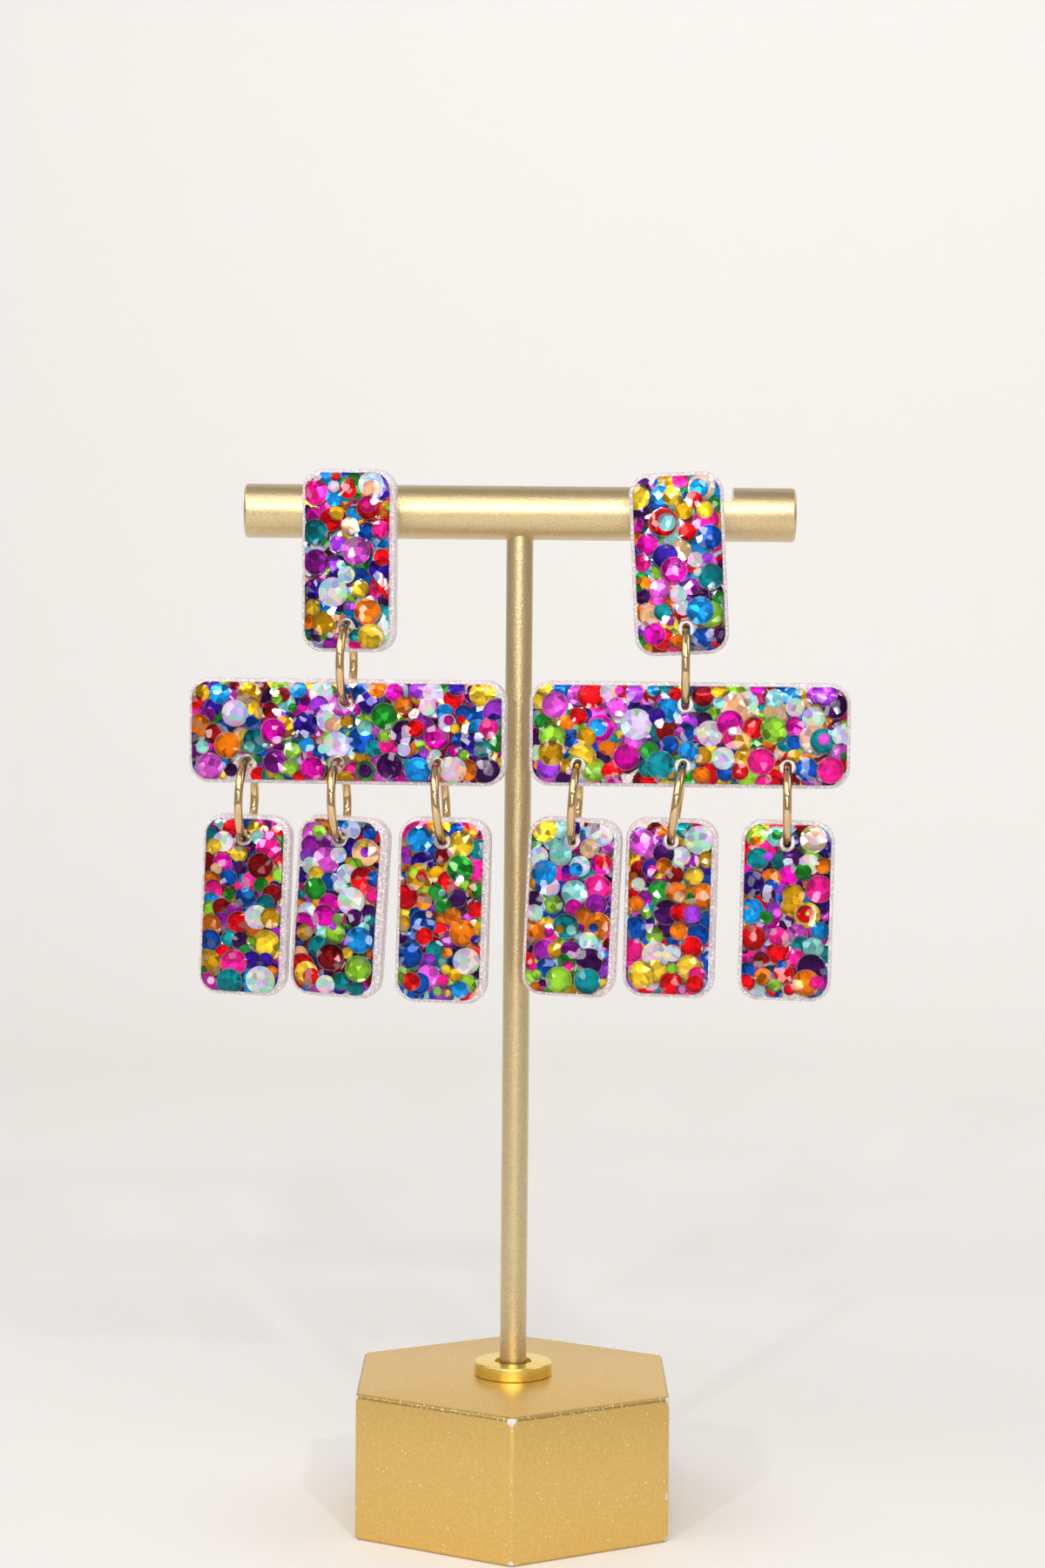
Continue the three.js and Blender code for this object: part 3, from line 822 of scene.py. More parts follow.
# The uppermost dots, charted in steps of CHART_STEP: across, down, diameter, film, lowest first.
CHARTS = {
    "left_stud": """
        436 559 30 indigo  425 556 29 ice  426 562 21 peach  361 566 29 pink  383 572 20 sky
        382 559 14 opal  384 547 12 red  395 544 10 blue  399 563 20 red  350 585 12 indigo
        359 591 18 magenta  379 597 27 red  386 589 17 gold  406 590 19 sky  401 604 20 peach
        422 583 28 red  422 579 20 pink  445 581 14 orange  445 582 8 lime  361 611 30 teal  437 616 28 sky
        421 610 22 blue  437 608 21 pink  374 624 10 green  388 625 21 violet  409 632 33 orchid
        382 646 17 violet  362 645 30 plum  437 653 30 indigo  438 639 20 red  397 659 20 opal
        391 648 11 aqua  359 676 24 indigo  354 669 6 magenta  376 693 22 sky  382 679 34 opal
        430 678 16 pink  413 675 21 yellow  441 673 20 red  445 686 18 purple  445 681 11 red
        401 696 14 violet  358 697 19 yellow  372 715 28 gold  353 713 18 orange  400 704 12 sky
        422 701 31 orange  448 705 18 blue  441 719 18 opal  407 728 15 teal  426 730 31 yellow
        361 728 11 purple  372 731 8 lime  380 740 20 plum  379 728 7 opal""",
    "left_bar": """
        228 798 20 gold  222 809 16 red  250 799 24 sky  267 789 11 wine  297 789 17 wine  285 799 28 gold
        287 812 20 gold  236 823 18 plum  268 821 31 lilac  226 836 27 orange  244 845 24 wine
        218 851 15 purple  230 860 16 aqua  281 848 18 yellow  259 858 31 orange  292 852 30 teal
        285 859 13 aqua  289 831 18 blue  297 821 14 gold  309 817 20 wine  323 799 18 wine  317 804 13 lime
        342 793 19 sky  335 814 10 green  325 837 28 gold  313 841 30 magenta  315 876 28 plum
        263 886 16 purple  238 883 33 orchid  335 864 20 lime  333 883 20 lime  352 856 18 sky
        350 833 30 indigo  359 884 30 magenta  342 894 15 red  368 796 28 opal  366 810 21 violet
        374 788 12 ice  379 826 32 opal  381 833 17 peach  398 829 16 gold  386 856 31 opal  383 870 30 gold
        397 895 20 gold  415 797 24 blue  424 807 26 indigo  433 791 22 orange  415 850 32 blue
        441 822 31 green  418 830 20 lime  419 836 18 aqua  453 795 21 magenta  463 810 21 orange
        430 860 20 teal  481 792 22 violet  497 795 24 lilac  491 811 20 opal  464 841 30 purple
        485 835 30 plum  477 836 21 red  502 846 30 magenta  444 856 18 pink  438 881 31 orchid
        448 879 31 purple  420 885 24 green  420 885 17 purple  480 884 31 sky  520 802 23 red
        524 788 20 indigo  554 796 30 yellow  511 817 20 sky  532 817 18 blue  570 817 32 violet
        568 825 16 indigo  514 829 21 lilac  516 826 12 magenta  523 835 12 yellow  530 825 10 red
        550 837 26 sky  561 835 23 pink  529 849 20 blue  542 852 26 indigo  556 858 22 teal
        573 852 20 green  559 882 32 purple  536 882 26 orange  521 882 31 opal  501 866 14 opal
        521 861 14 magenta  534 865 12 lime  464 860 16 lilac  442 845 14 lime  319 896 14 lime
        393 809 29 orchid""",
    "left_drop_outer": """
        236 960 19 teal  262 952 22 red  253 967 24 opal  242 973 18 yellow  272 980 20 yellow
        289 952 18 yellow  293 960 17 aqua  319 965 16 green  320 983 18 red  306 973 30 pink
        288 1012 24 pink  307 1009 20 orange  297 993 31 wine  234 991 22 wine  253 991 22 magenta
        237 976 9 yellow  246 999 14 peach  274 996 16 purple  261 1009 20 blue  321 1002 20 lime
        315 1016 14 indigo  240 1015 26 orange  243 1022 22 pink  241 1035 18 sky  262 1027 14 green
        281 1030 24 blue  285 1026 12 sky  299 1015 18 green  313 1026 26 wine  305 1036 22 teal
        240 1046 20 lime  254 1043 22 wine  270 1047 20 plum  255 1059 22 plum  274 1059 26 red
        323 1054 20 blue  295 1068 22 orange  296 1052 28 opal  312 1052 24 gold  241 1065 28 orange
        242 1082 27 blue  265 1078 20 teal  278 1080 21 purple  308 1082 32 yellow  291 1080 12 lime
        283 1091 13 green  258 1096 20 red  308 1101 18 indigo  292 1102 22 indigo  240 1109 34 gold
        271 1106 31 pink  233 1120 16 green  240 1131 24 magenta  245 1128 9 opal  267 1128 31 teal
        315 1115 16 orange  303 1125 34 opal""",
    "left_drop_middle": """
        355 960 30 orchid  361 958 18 lime  397 952 23 opal  390 947 8 sky  420 956 16 blue  371 968 18 plum
        352 973 24 plum  396 972 24 indigo  416 976 32 peach  413 967 10 yellow  416 976 12 violet
        347 985 16 violet  371 989 31 orchid  385 981 19 opal  353 996 20 opal  360 1005 18 yellow
        405 993 20 lime  395 1002 22 opal  415 1007 30 red  429 1006 20 blue  376 1012 20 blue
        389 1017 16 ice  365 1033 22 gold  360 1022 26 green  429 1025 20 pink  342 1031 12 teal
        344 1041 12 orange  378 1039 26 magenta  352 1049 22 opal  373 1052 26 magenta  403 1033 32 opal
        394 1055 14 pink  408 1052 21 purple  426 1053 14 teal  389 1055 14 lime  349 1065 30 magenta
        344 1073 22 purple  351 1073 19 gold  387 1072 24 lime  384 1064 9 violet  420 1063 14 aqua
        415 1077 31 sky  367 1088 24 teal  402 1093 14 yellow  337 1091 20 opal  347 1099 20 peach
        378 1117 16 purple  383 1099 32 wine  416 1110 31 lime  350 1113 32 red  356 1120 28 yellow
        362 1123 20 red  396 1126 21 teal  379 1131 22 opal  414 1136 20 teal""",
    "left_drop_inner": """
        521 952 16 blue  498 959 14 lime  495 952 10 gold  479 965 31 sky  549 975 26 teal
        527 968 30 yellow  462 981 16 plum  465 988 12 violet  483 992 28 indigo  480 1018 30 lime
        481 1007 31 gold  475 1002 10 lime  483 1007 13 red  506 982 18 wine  557 1004 18 red
        548 998 26 pink  501 1004 20 gold  514 1012 26 red  527 996 31 green  527 1007 10 aqua
        525 1030 22 purple  501 1025 20 green  507 1025 8 aqua  550 1021 19 green  458 1008 22 wine
        486 1035 20 orange  465 1031 30 red  508 1039 20 green  546 1042 21 red  520 1052 21 orange
        546 1064 20 gold  532 1070 31 orange  555 1055 12 lime  461 1063 19 gold  505 1067 18 red
        486 1060 31 blue  488 1075 21 red  493 1050 8 peach  547 1077 11 indigo  501 1090 22 teal
        508 1102 18 teal  471 1098 31 blue  496 1101 13 violet  515 1093 13 orange  548 1122 20 purple
        525 1119 16 gold  537 1102 31 opal  494 1122 28 orchid  483 1130 26 blue  474 1128 22 red
        459 1125 16 lime  514 1112 12 yellow  511 1125 14 pink  540 1128 22 lime  531 1135 20 sky
        505 1138 11 lime  516 1140 10 gold""",
    "right_stud": """
        737 588 28 purple  733 601 18 magenta  735 569 30 yellow  762 568 22 sky  775 554 16 gold
        785 551 19 pink  775 570 22 yellow  809 561 31 peach  806 562 22 sky  800 575 20 red
        788 586 22 gold  764 599 33 red  768 599 21 aqua  813 599 30 pink  812 587 20 yellow  791 611 21 red
        816 618 29 blue  733 616 16 orange  745 624 26 magenta  783 632 24 peach  765 638 30 indigo
        774 654 31 magenta  776 650 14 orchid  738 644 21 pink  729 634 10 sky  799 643 18 opal
        828 643 10 red  812 641 12 violet  815 663 30 teal  793 673 20 plum  757 675 23 orchid
        737 682 19 purple  731 673 11 green  778 682 20 opal  783 697 18 lilac  824 687 16 green
        814 706 30 lime  802 701 32 sky  745 704 24 peach  759 701 20 teal  831 709 14 magenta
        759 732 26 red  749 726 26 magenta  775 735 18 orange  804 732 24 blue  824 731 20 purple
        741 742 11 gold  733 721 12 violet""",
    "right_bar": """
        647 792 22 blue  624 790 21 yellow  618 806 20 yellow  638 811 31 orchid  664 799 24 orchid
        679 799 32 red  700 794 22 opal  711 794 10 pink  650 832 18 orange  665 823 21 red
        690 837 32 magenta  687 836 21 sky  709 813 24 orchid  635 847 31 lime  631 882 28 violet
        634 866 30 gold  658 854 18 blue  674 847 22 gold  683 885 28 lime  669 871 34 yellow
        700 886 18 red  726 851 24 orchid  731 832 36 lilac  729 797 21 violet  720 870 31 magenta
        746 862 22 green  747 799 18 wine  750 793 14 sky  768 815 30 sky  755 823 20 indigo  776 797 16 red
        764 840 22 wine  770 855 21 blue  745 882 22 teal  759 878 33 teal  807 868 22 gold  791 863 24 sky
        789 830 24 violet  788 841 22 blue  781 840 11 orchid  815 842 30 opal  802 790 16 purple
        807 799 26 wine  825 792 18 gold  857 806 26 opal  843 811 33 peach  825 807 13 aqua
        838 830 31 magenta  843 847 26 pink  841 839 10 ice  813 889 28 red  806 890 20 orange
        833 887 20 blue  831 870 26 opal  852 851 22 gold  856 870 26 gold  850 885 20 red  866 835 26 red
        888 816 24 peach  889 801 22 aqua  888 837 31 lime  874 873 32 pink  869 790 17 magenta
        908 799 22 sky  912 811 22 opal  912 788 14 magenta  912 832 22 magenta  933 823 26 opal
        912 851 18 blue  912 868 18 gold  933 847 32 peach  944 849 30 teal  945 847 14 orchid
        926 882 28 blue  964 799 22 wine  957 809 30 purple  945 795 30 violet  959 829 12 purple
        966 842 24 opal  965 861 20 orchid  970 875 14 red  953 882 31 pink  968 866 9 green""",
    "right_drop_inner": """
        641 951 26 aqua  621 954 30 yellow  675 946 18 wine  669 956 14 sky  685 954 33 opal
        616 985 22 opal  641 982 26 aqua  674 973 23 peach  604 1009 22 red  631 1020 22 opal
        623 1004 30 sky  664 994 24 ice  660 998 16 sky  689 990 26 magenta  691 988 18 red
        685 1018 32 pink  659 1025 30 aqua  705 1001 9 lime  614 1035 20 purple  614 1051 20 opal
        635 1040 22 lime  659 1042 20 magenta  685 1037 26 plum  671 1051 20 orange  688 1061 31 orange
        683 1064 11 blue  651 1064 30 teal  658 1068 12 aqua  644 1068 11 gold  614 1074 29 orange
        632 1072 12 magenta  678 1080 22 opal  628 1094 28 plum  641 1092 20 gold  658 1092 24 plum
        696 1095 9 sky  606 1106 22 pink  654 1104 20 green  656 1110 13 pink  631 1113 24 blue
        609 1127 21 lime  646 1126 31 lime  620 1122 12 lime  680 1103 32 purple  679 1126 31 teal
        619 1136 12 orange""",
    "right_drop_middle": """
        723 985 20 gold  759 954 14 orange  735 968 32 orchid  783 952 20 teal  780 982 22 opal
        800 963 33 opal  810 985 20 gold  760 980 25 purple  733 999 22 wine  745 997 20 indigo
        747 999 11 pink  773 1004 22 wine  761 994 19 orange  796 1004 21 yellow  726 1007 10 orange
        732 1016 16 opal  757 1025 29 green  740 1032 18 plum  807 1028 32 orange  776 1025 26 orange
        779 1029 13 peach  792 1029 10 green  730 1039 19 orange  766 1066 22 purple  765 1047 30 purple
        780 1047 22 red  795 1048 21 violet  742 1050 12 lime  730 1068 30 blue  752 1075 20 lime
        815 1058 24 blue  801 1073 28 blue  780 1068 21 orange  726 1093 28 pink  754 1097 32 opal
        773 1094 20 opal  795 1086 26 red  754 1116 28 yellow  738 1120 32 yellow  792 1109 28 yellow
        802 1118 20 pink  773 1129 28 red  800 1128 21 red  773 1111 13 lime  785 1135 14 magenta""",
    "right_drop_outer": """
        869 950 24 yellow  866 959 26 lime  866 967 12 orange  916 951 14 wine  890 961 24 aqua
        890 959 12 green  909 966 22 violet  947 975 20 indigo  932 963 31 peach  852 982 18 red
        869 987 26 teal  881 985 11 violet  909 985 26 purple  894 991 20 teal  928 992 24 opal
        944 993 19 orange  904 1006 24 magenta  885 1009 22 orange  921 1001 20 green  863 1016 30 indigo
        885 1018 16 blue  882 1028 18 purple  911 1028 26 gold  940 1020 32 pink  909 1042 26 gold
        858 1037 18 orange  863 1047 30 sky  927 1050 30 yellow  925 1049 21 red  927 1048 5 lime
        946 1045 9 purple  880 1054 16 green  904 1060 18 purple  942 1068 22 sky  895 1094 28 red
        866 1079 30 red  916 1073 26 orchid  895 1076 22 pink  921 1085 22 teal  935 1087 24 aqua
        876 1104 20 wine  915 1100 22 pink  852 1101 20 magenta  860 1116 19 blue  902 1118 24 red
        900 1108 12 blue  879 1123 21 orange  860 1130 20 red  933 1111 34 purple  928 1128 31 orange
        940 1127 16 pink  921 1129 10 yellow  892 1132 16 lime  909 1136 14 red""",
}


def layout():
    """Tiles as (name, body, matrix, width, height, holes) and rings as (name, body, matrix), in mm."""
    t = sizes("earring_tiles")
    tiles, rings, posts = [], [], []
    step = 2 * t["hole_from_centre"]
    for side, (place, turn, stud_pin, stud_hole, bar_hole) in EARRINGS.items():
        body = f"{side}_main_drop"
        root = shift(*place) @ turned("Z", turn)
        pin_x, pin_z = stud_pin * t["stud_width"], t["stud_height"] / 2 - t["pin_below_top"]
        hole_x, hole_z = stud_hole * t["stud_width"], t["stud_hole"] - t["stud_height"] / 2
        lean = -math.degrees(math.atan2(pin_x - hole_x, pin_z - hole_z))
        stud = root @ turned("Y", lean)
        tiles.append(
            (f"{side}_stud", "root", stud @ shift(-pin_x, 0, -pin_z), t["stud_width"], t["stud_height"],
             [(hole_x, hole_z)])
        )
        posts.append((f"{side}_ear_post", stud @ shift(0, t["thickness"] / 2 + t["bond_gap"], 0)))
        down = math.hypot(pin_x - hole_x, pin_z - hole_z)
        rings.append((f"{side}_ring_top", body, root @ shift(0, 0, -down - t["hole_from_centre"])))
        bar_x, bar_z = bar_hole * t["bar_width"], t["bar_height"] / 2 - t["bar_top_hole"]
        low = t["bar_low_hole"] - t["bar_height"] / 2
        bar = root @ shift(-bar_x, 0, -down - step - bar_z)
        holes = [(bar_x, bar_z), *((row[1] * t["drop_pitch"], low) for row in DROPS[side])]
        tiles.append((f"{side}_bar", body, bar, t["bar_width"], t["bar_height"], holes))
        for name, along, hole, ring_lean, drop_turn, wide, tall in DROPS[side]:
            hung = bar @ shift(along * t["drop_pitch"], 0, low) @ turned("Z", drop_turn)
            ring = hung @ turned("Y", -ring_lean) @ shift(0, 0, -t["hole_from_centre"])
            rings.append((f"{side}_ring_{name}", body, ring))
            width, height = t["drop_width"] * wide, t["drop_height"] * tall
            own_x, own_z = hole * t["drop_width"], height / 2 - t["drop_hole"]
            away = math.radians(ring_lean)
            drop = hung @ shift(step * math.sin(away), 0, -step * math.cos(away))
            drop = drop @ turned("Y", -math.degrees(math.atan2(own_x, own_z))) @ shift(-own_x, 0, -own_z)
            tiles.append((f"{side}_drop_{name}", body, drop, width, height, [(own_x, own_z)]))
    return tiles, rings, posts


def ring_shape(t, cut):
    """A wire ring with a fine cut: x = r sin b, y = (R + r cos b) cos a, z = (R + r cos b) sin a."""
    wire = t["wire_diameter"] / 2
    radius = t["ring_diameter"] / 2 - wire
    gap = t["ring_cut"] / radius
    around = math.radians(cut) + np.linspace(gap / 2, 2 * math.pi - gap / 2, 97)
    section = np.linspace(0, 2 * math.pi, 18, endpoint=False)
    reach = radius + wire * np.cos(section)
    rows = np.empty((97, 18, 3))
    rows[..., 0] = wire * np.sin(section)
    rows[..., 1] = np.cos(around)[:, None] * reach
    rows[..., 2] = np.sin(around)[:, None] * reach
    return closed_rows(rows)


class EARRINGS_OT_stand(bpy.types.Operator):
    """Builds the base, disc, post and cross bar"""

    bl_idname = "earrings.stand"
    bl_label = "Stand"

    def execute(self, context):
        s = sizes("earring_stand")
        self.base(s)
        self.disc(s)
        self.post(s)
        self.cross_bar(s)
        return {"FINISHED"}

    def base(self, s):
        """Hexagonal block: at inset t each corner is an arc of radius r - t about the same centre."""
        steps = 6
        corner = s["base_across_flats"] / math.sqrt(3) - s["base_corner_radius"] / math.cos(math.pi / 6)
        middle = -math.pi / 2 + np.arange(6) * math.pi / 3
        sweep = np.linspace(-math.pi / 6, math.pi / 6, steps)
        angle = (middle[:, None] + sweep).ravel()
        centres = corner * np.stack([np.cos(middle), np.sin(middle)], -1).repeat(steps, axis=0)
        way = np.stack([np.cos(angle), np.sin(angle)], -1)
        e, top = s["base_edge_break"], s["base_height"]
        rim = [(e, 0), (e / 2, 0.12 * e), (0.12 * e, e / 2), (0, e)]
        profile = rim + [(inset, top - level) for inset, level in rim[::-1]]
        rows = [
            np.column_stack([centres + (s["base_corner_radius"] - inset) * way, np.full(len(way), level)])
            for inset, level in profile
        ]
        bore = s["post_diameter"] / 2 + 0.15
        around = np.arctan2(rows[0][:, 1], rows[0][:, 0])
        circle = bore * np.stack([np.cos(around), np.sin(around)], -1)
        for level in (top, top - s["post_in_base"]):
            rows.append(np.column_stack([circle, np.full(len(way), level)]))
        shape = closed_rows(np.array(rows))
        make("base_block", shape, finish_of("satin_gold_paint"), "root", ["hex_base"])

    def disc(self, s):
        """Turned disc with rounded edges and a shallow recess round the post."""
        r, h, edge = s["disc_diameter"] / 2, s["disc_height"], 0.25
        inner = s["post_diameter"] / 2 + s["disc_recess"]
        bend = np.linspace(0, math.pi / 2, 5)
        profile = [(0.05, 0), (r - 0.05, 0), (r, 0.05)]
        profile += [(r - edge + edge * math.cos(b), h - edge + edge * math.sin(b)) for b in bend]
        profile += [(inner + 0.1, h), (inner, h - 0.08), (inner, h - 0.5), (0.05, h - 0.5)]
        points, faces = lathe(profile, 96)
        points[:, 2] += s["base_height"] + s["rest_gap"]
        finish = finish_of("bright_anodised_gold")
        make("turned_disc", (points, faces), finish, "root", ["base_disc"])

    def post(self, s):
        """Upright rod."""
        r = s["post_diameter"] / 2
        low = s["base_height"] - s["post_in_base"] + s["rest_gap"]
        high = s["bar_axis_height"] - s["bar_diameter"] / 2 + s["post_in_bar"]
        shape = lathe([(0.05, low), (r, low), (r, high), (0.05, high)], 48)
        make("upright_rod", shape, finish_of("fine_grit_champagne_gold"), "root", ["post"])

    def cross_bar(self, s):
        """Round bar along X, cut flat in its notches: z = min(R sin a, notch floor)."""
        radius, half = s["bar_diameter"] / 2, s["bar_length"] / 2
        floor = radius - s["notch_depth"]
        edge = s["bar_edge_break"]
        bend = np.linspace(0, math.pi / 2, 6)
        ends = [(half - edge + edge * math.sin(b), radius - edge + edge * math.cos(b)) for b in bend]
        lines = [(x, r, radius) for x, r in ends] + [(half, 0.05, radius)]
        inner = s["notch_centre"] - s["notch_width"] / 2
        outer = s["notch_centre"] + s["notch_width"] / 2
        notch = [(inner, radius), (inner, floor), (outer, floor), (outer, radius)]
        right = [(x, radius, limit) for x, limit in notch] + lines
        rows = [(-x, r, limit) for x, r, limit in right[::-1]] + right
        flat = math.asin(floor / radius)
        top = np.linspace(flat, math.pi - flat, 25)[:-1]
        under = np.linspace(math.pi - flat, 2 * math.pi + flat, 49)[:-1]
        angle = np.concatenate([top, under])
        x, r, limit = (column[:, None] for column in np.array(rows).T)
        levels = np.minimum(r * np.sin(angle), limit)
        points = np.stack(np.broadcast_arrays(x, r * np.cos(angle), levels), axis=-1)
        points[..., 2] += s["bar_axis_height"]
        shape = closed_rows(points)
        make("cross_bar", shape, finish_of("fine_grit_champagne_gold"), "root", ["t_bar"])


class EARRINGS_OT_tiles(bpy.types.Operator):
    """Builds the pearl slabs, the film dots and the clear domed faces"""

    bl_idname = "earrings.tiles"
    bl_label = "Tiles"

    def execute(self, context):
        t = sizes("earring_tiles")
        tiles, _, _ = layout()
        for count, (name, body, matrix, width, height, holes) in enumerate(tiles):
            rng = np.random.default_rng(context.scene.earring_tiles.seed + count)
            points, faces = slab_shape(t, width, height, holes)
            finish = finish_of("pearl_glitter_resin")
            shape = (placed(matrix, points), faces)
            make(f"{name}_pearl", shape, finish, body, [f"{name}_slab"])
            dots = scatter(t, rng, width, height, holes, charted(name))
            bare = BARE_RIMS.get(name, 0.0)
            (points, faces), tints, places = dot_shape(t, rng, width, height, holes, dots, bare)
            finish = finish_of("iridescent_film_dots")
            shape = (placed(matrix, points), faces)
            film = make(f"{name}_dots", shape, finish, body, [f"{name}_face"], tints)
            layer = film.data.attributes.new("disc", "FLOAT_VECTOR", "POINT")
            layer.data.foreach_set("vector", np.ascontiguousarray(places, np.float32).ravel())
            points, faces = face_shape(t, width, height, holes, dots)
            shape = (placed(matrix, points), faces)
            finish = finish_of("clear_domed_resin")
            make(f"{name}_dome", shape, finish, body, [f"{name}_face"])
        return {"FINISHED"}


class EARRINGS_OT_metal(bpy.types.Operator):
    """Builds the jump rings and the ear posts"""

    bl_idname = "earrings.metal"
    bl_label = "Rings and ear posts"

    def execute(self, context):
        t = sizes("earring_tiles")
        _, rings, posts = layout()
        for name, body, matrix in rings:
            points, faces = ring_shape(t, RING_CUTS[name])
            finish = finish_of("polished_light_gold_plate")
            make(f"{name}_wire", (placed(matrix, points), faces), finish, body, [name])
        for name, matrix in posts:
            points, faces = self.ear_post(t)
            finish = finish_of("pale_gold_plated_steel")
            make(f"{name}_pin", (placed(matrix, points), faces), finish, "root", [name])
        return {"FINISHED"}

    def ear_post(self, t):
        """Pad and grooved pin turned about +Y."""
        pad, pin, end = t["pad_diameter"] / 2, t["pin_diameter"] / 2, t["pin_length"]
        thick = t["pad_thickness"]
        profile = [(0.02, 0), (pad - 0.05, 0), (pad, 0.05), (pad, thick - 0.08), (pad - 0.08, thick)]
        profile += [(pin + 0.12, thick), (pin, thick + 0.12), (pin, end - 3.1), (pin - 0.12, end - 2.9)]
        profile += [(pin - 0.12, end - 2.4), (pin, end - 2.2), (pin, end - pin)]
        bend = np.linspace(0, math.pi / 2, 6)[1:]
        profile += [(max(pin * math.cos(b), 0.02), end - pin + pin * math.sin(b)) for b in bend]
        points, faces = lathe(profile, 40)
        return np.stack([points[:, 0], points[:, 2], -points[:, 1]], -1), faces


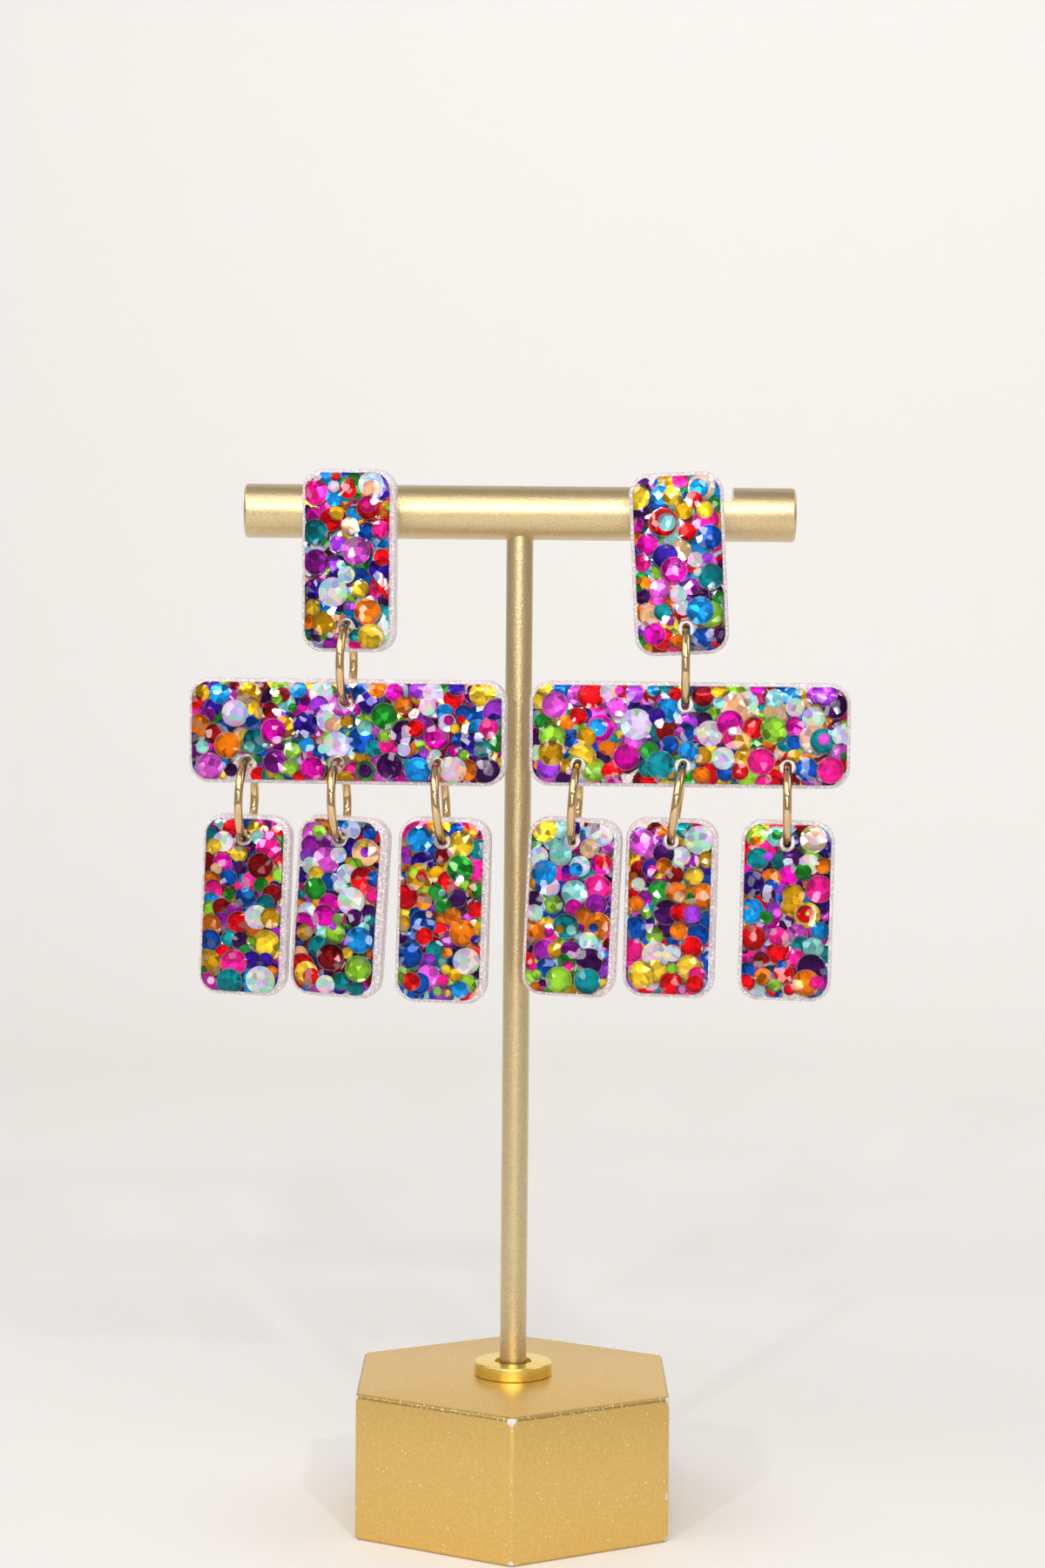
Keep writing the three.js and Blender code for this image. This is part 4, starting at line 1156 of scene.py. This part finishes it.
class EARRINGS_OT_stage(bpy.types.Operator):
    """Sets the pale floor, the soft lights and the camera"""

    bl_idname = "earrings.stage"
    bl_label = "Stage"

    def execute(self, context):
        self.floor()
        self.lights(context)
        self.camera(context)
        return {"FINISHED"}

    def floor(self):
        """Floor and backdrop in one sweep: flat to the back, then a quarter circle up."""
        bend = np.linspace(0, math.pi / 2, 24)
        profile = [(-0.45, 0.0)]
        profile += [(0.35 + 0.15 * math.sin(b), 0.15 * (1 - math.cos(b))) for b in bend] + [(0.5, 0.45)]
        rows = np.array([[(x, y, z) for x in (-0.6, 0.6)] for y, z in profile])
        mesh = bpy.data.meshes.new("floor")
        mesh.from_pydata(rows.reshape(-1, 3).tolist(), [], quads(len(rows), 2).tolist())
        mesh.shade_smooth()
        finish, tree, _ = new_finish("pale_paper_floor")
        shade = rgba(bpy.context.scene.earring_finishes.floor)
        shader = add(tree, "ShaderNodeBsdfPrincipled", {"Base Color": shade, "Roughness": 0.9})
        output(tree, shader.outputs["BSDF"])
        mesh.materials.append(finish)
        obj = bpy.data.objects.new("floor", mesh)
        bpy.context.scene.collection.objects.link(obj)

    def lights(self, context):
        """A pale surround, soft lamps and three small ones that make the resin sparkle."""
        world = bpy.data.worlds.new("studio")
        world.use_nodes = True
        tree = world.node_tree
        tree.nodes.clear()
        seen = add(tree, "ShaderNodeLightPath").outputs["Is Camera Ray"]
        level = add(tree, "ShaderNodeMapRange", {"Value": seen, "To Min": 0.43, "To Max": 0.95})
        pale = {"Color": rgba(linear("F8F4F0")), "Strength": level.outputs["Result"]}
        surround = add(tree, "ShaderNodeBackground", pale).outputs["Background"]
        add(tree, "ShaderNodeOutputWorld", {"Surface": surround})
        context.scene.world = world
        context.scene.view_settings.view_transform = "Standard"
        rows = (
            ("key", (-0.1, -0.31, 0.45), (0.0, 0.0, 0.06), (0.7, 0.3), 1.1),
            ("front", (0.0, -0.62, 0.2), (0.0, 0.0, 0.06), (0.3, 0.26), 0.33),
            ("foreground", (0.0, -0.33, 0.16), (0.0, -0.28, 0.0), (0.3, 0.12), 0.04),
            ("backdrop", (0.2, 0.2, 0.38), (0.22, 0.5, 0.05), (0.8, 0.1), 0.6),
            ("left", (-0.42, 0.0, 0.42), (0.0, 0.0, 0.03), (0.3, 0.3), 0.3),
            ("right", (0.42, 0.0, 0.42), (0.0, 0.0, 0.03), (0.3, 0.3), 0.3),
            ("sparkle_left", (-0.22, -0.5, 0.3), (0.0, 0.0, 0.09), (0.018, 0.018), 0.45),
            ("sparkle_middle", (-0.02, -0.55, 0.28), (0.0, 0.0, 0.09), (0.018, 0.018), 0.38),
            ("sparkle_right", (0.15, -0.5, 0.38), (0.0, 0.0, 0.09), (0.018, 0.018), 0.45),
        )
        for name, place, target, size, power in rows:
            lamp = bpy.data.lights.new(name, "AREA")
            lamp.shape = "RECTANGLE"
            lamp.size, lamp.size_y = size
            lamp.energy = power
            obj = bpy.data.objects.new(name, lamp)
            obj.location = place
            aim = Vector(target) - Vector(place)
            obj.rotation_euler = aim.to_track_quat("-Z", "Y").to_euler()
            bpy.context.scene.collection.objects.link(obj)

    def camera(self, context):
        """The photo's view: from the front, 3.3 degrees down, turned half a degree."""
        data = bpy.data.cameras.new("camera")
        data.sensor_width = 36.0
        data.lens = 3713.5 / 1800 * 36.0
        obj = bpy.data.objects.new("camera", data)
        obj.location = (0.00051, -0.3598, 0.10328)
        pitch, roll = math.radians(3.273), math.radians(0.489)
        ahead = Vector((0.0, math.cos(pitch), -math.sin(pitch)))
        right = Vector((1.0, 0.0, 0.0))
        up = right.cross(ahead)
        right, up = math.cos(roll) * right + math.sin(roll) * up, math.cos(roll) * up - math.sin(roll) * right
        obj.rotation_euler = Matrix((right, up, -ahead)).transposed().to_euler()
        bpy.context.scene.collection.objects.link(obj)
        context.scene.camera = obj


class EARRINGS_PT_panel(bpy.types.Panel):
    """Sidebar panel with the sizes, the finishes and a button for each step"""

    bl_idname = "EARRINGS_PT_panel"
    bl_label = "Chandelier earrings"
    bl_space_type = "VIEW_3D"
    bl_region_type = "UI"
    bl_category = "Earrings"

    def draw(self, context):
        for group in SETTINGS:
            box = self.layout.box()
            for name in getattr(context.scene, group).__annotations__:
                box.prop(getattr(context.scene, group), name)
        for step in STEPS:
            self.layout.operator(step.bl_idname)


STEPS = (EARRINGS_OT_stand, EARRINGS_OT_tiles, EARRINGS_OT_metal, EARRINGS_OT_stage)
CLASSES = (*SETTINGS.values(), *STEPS, EARRINGS_PT_panel)


def register():
    """Registers the classes and hangs the settings on the scene."""
    for each in CLASSES:
        bpy.utils.register_class(each)
    for name, group in SETTINGS.items():
        setattr(bpy.types.Scene, name, PointerProperty(type=group))


def unregister():
    """Takes the settings and the classes away again."""
    for name in SETTINGS:
        delattr(bpy.types.Scene, name)
    for each in reversed(CLASSES):
        bpy.utils.unregister_class(each)


def main():
    """Builds every piece in order."""
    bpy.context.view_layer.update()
    register()
    bpy.ops.earrings.stand()
    bpy.ops.earrings.tiles()
    bpy.ops.earrings.metal()
    bpy.ops.earrings.stage()


if __name__ == "__main__":
    main()
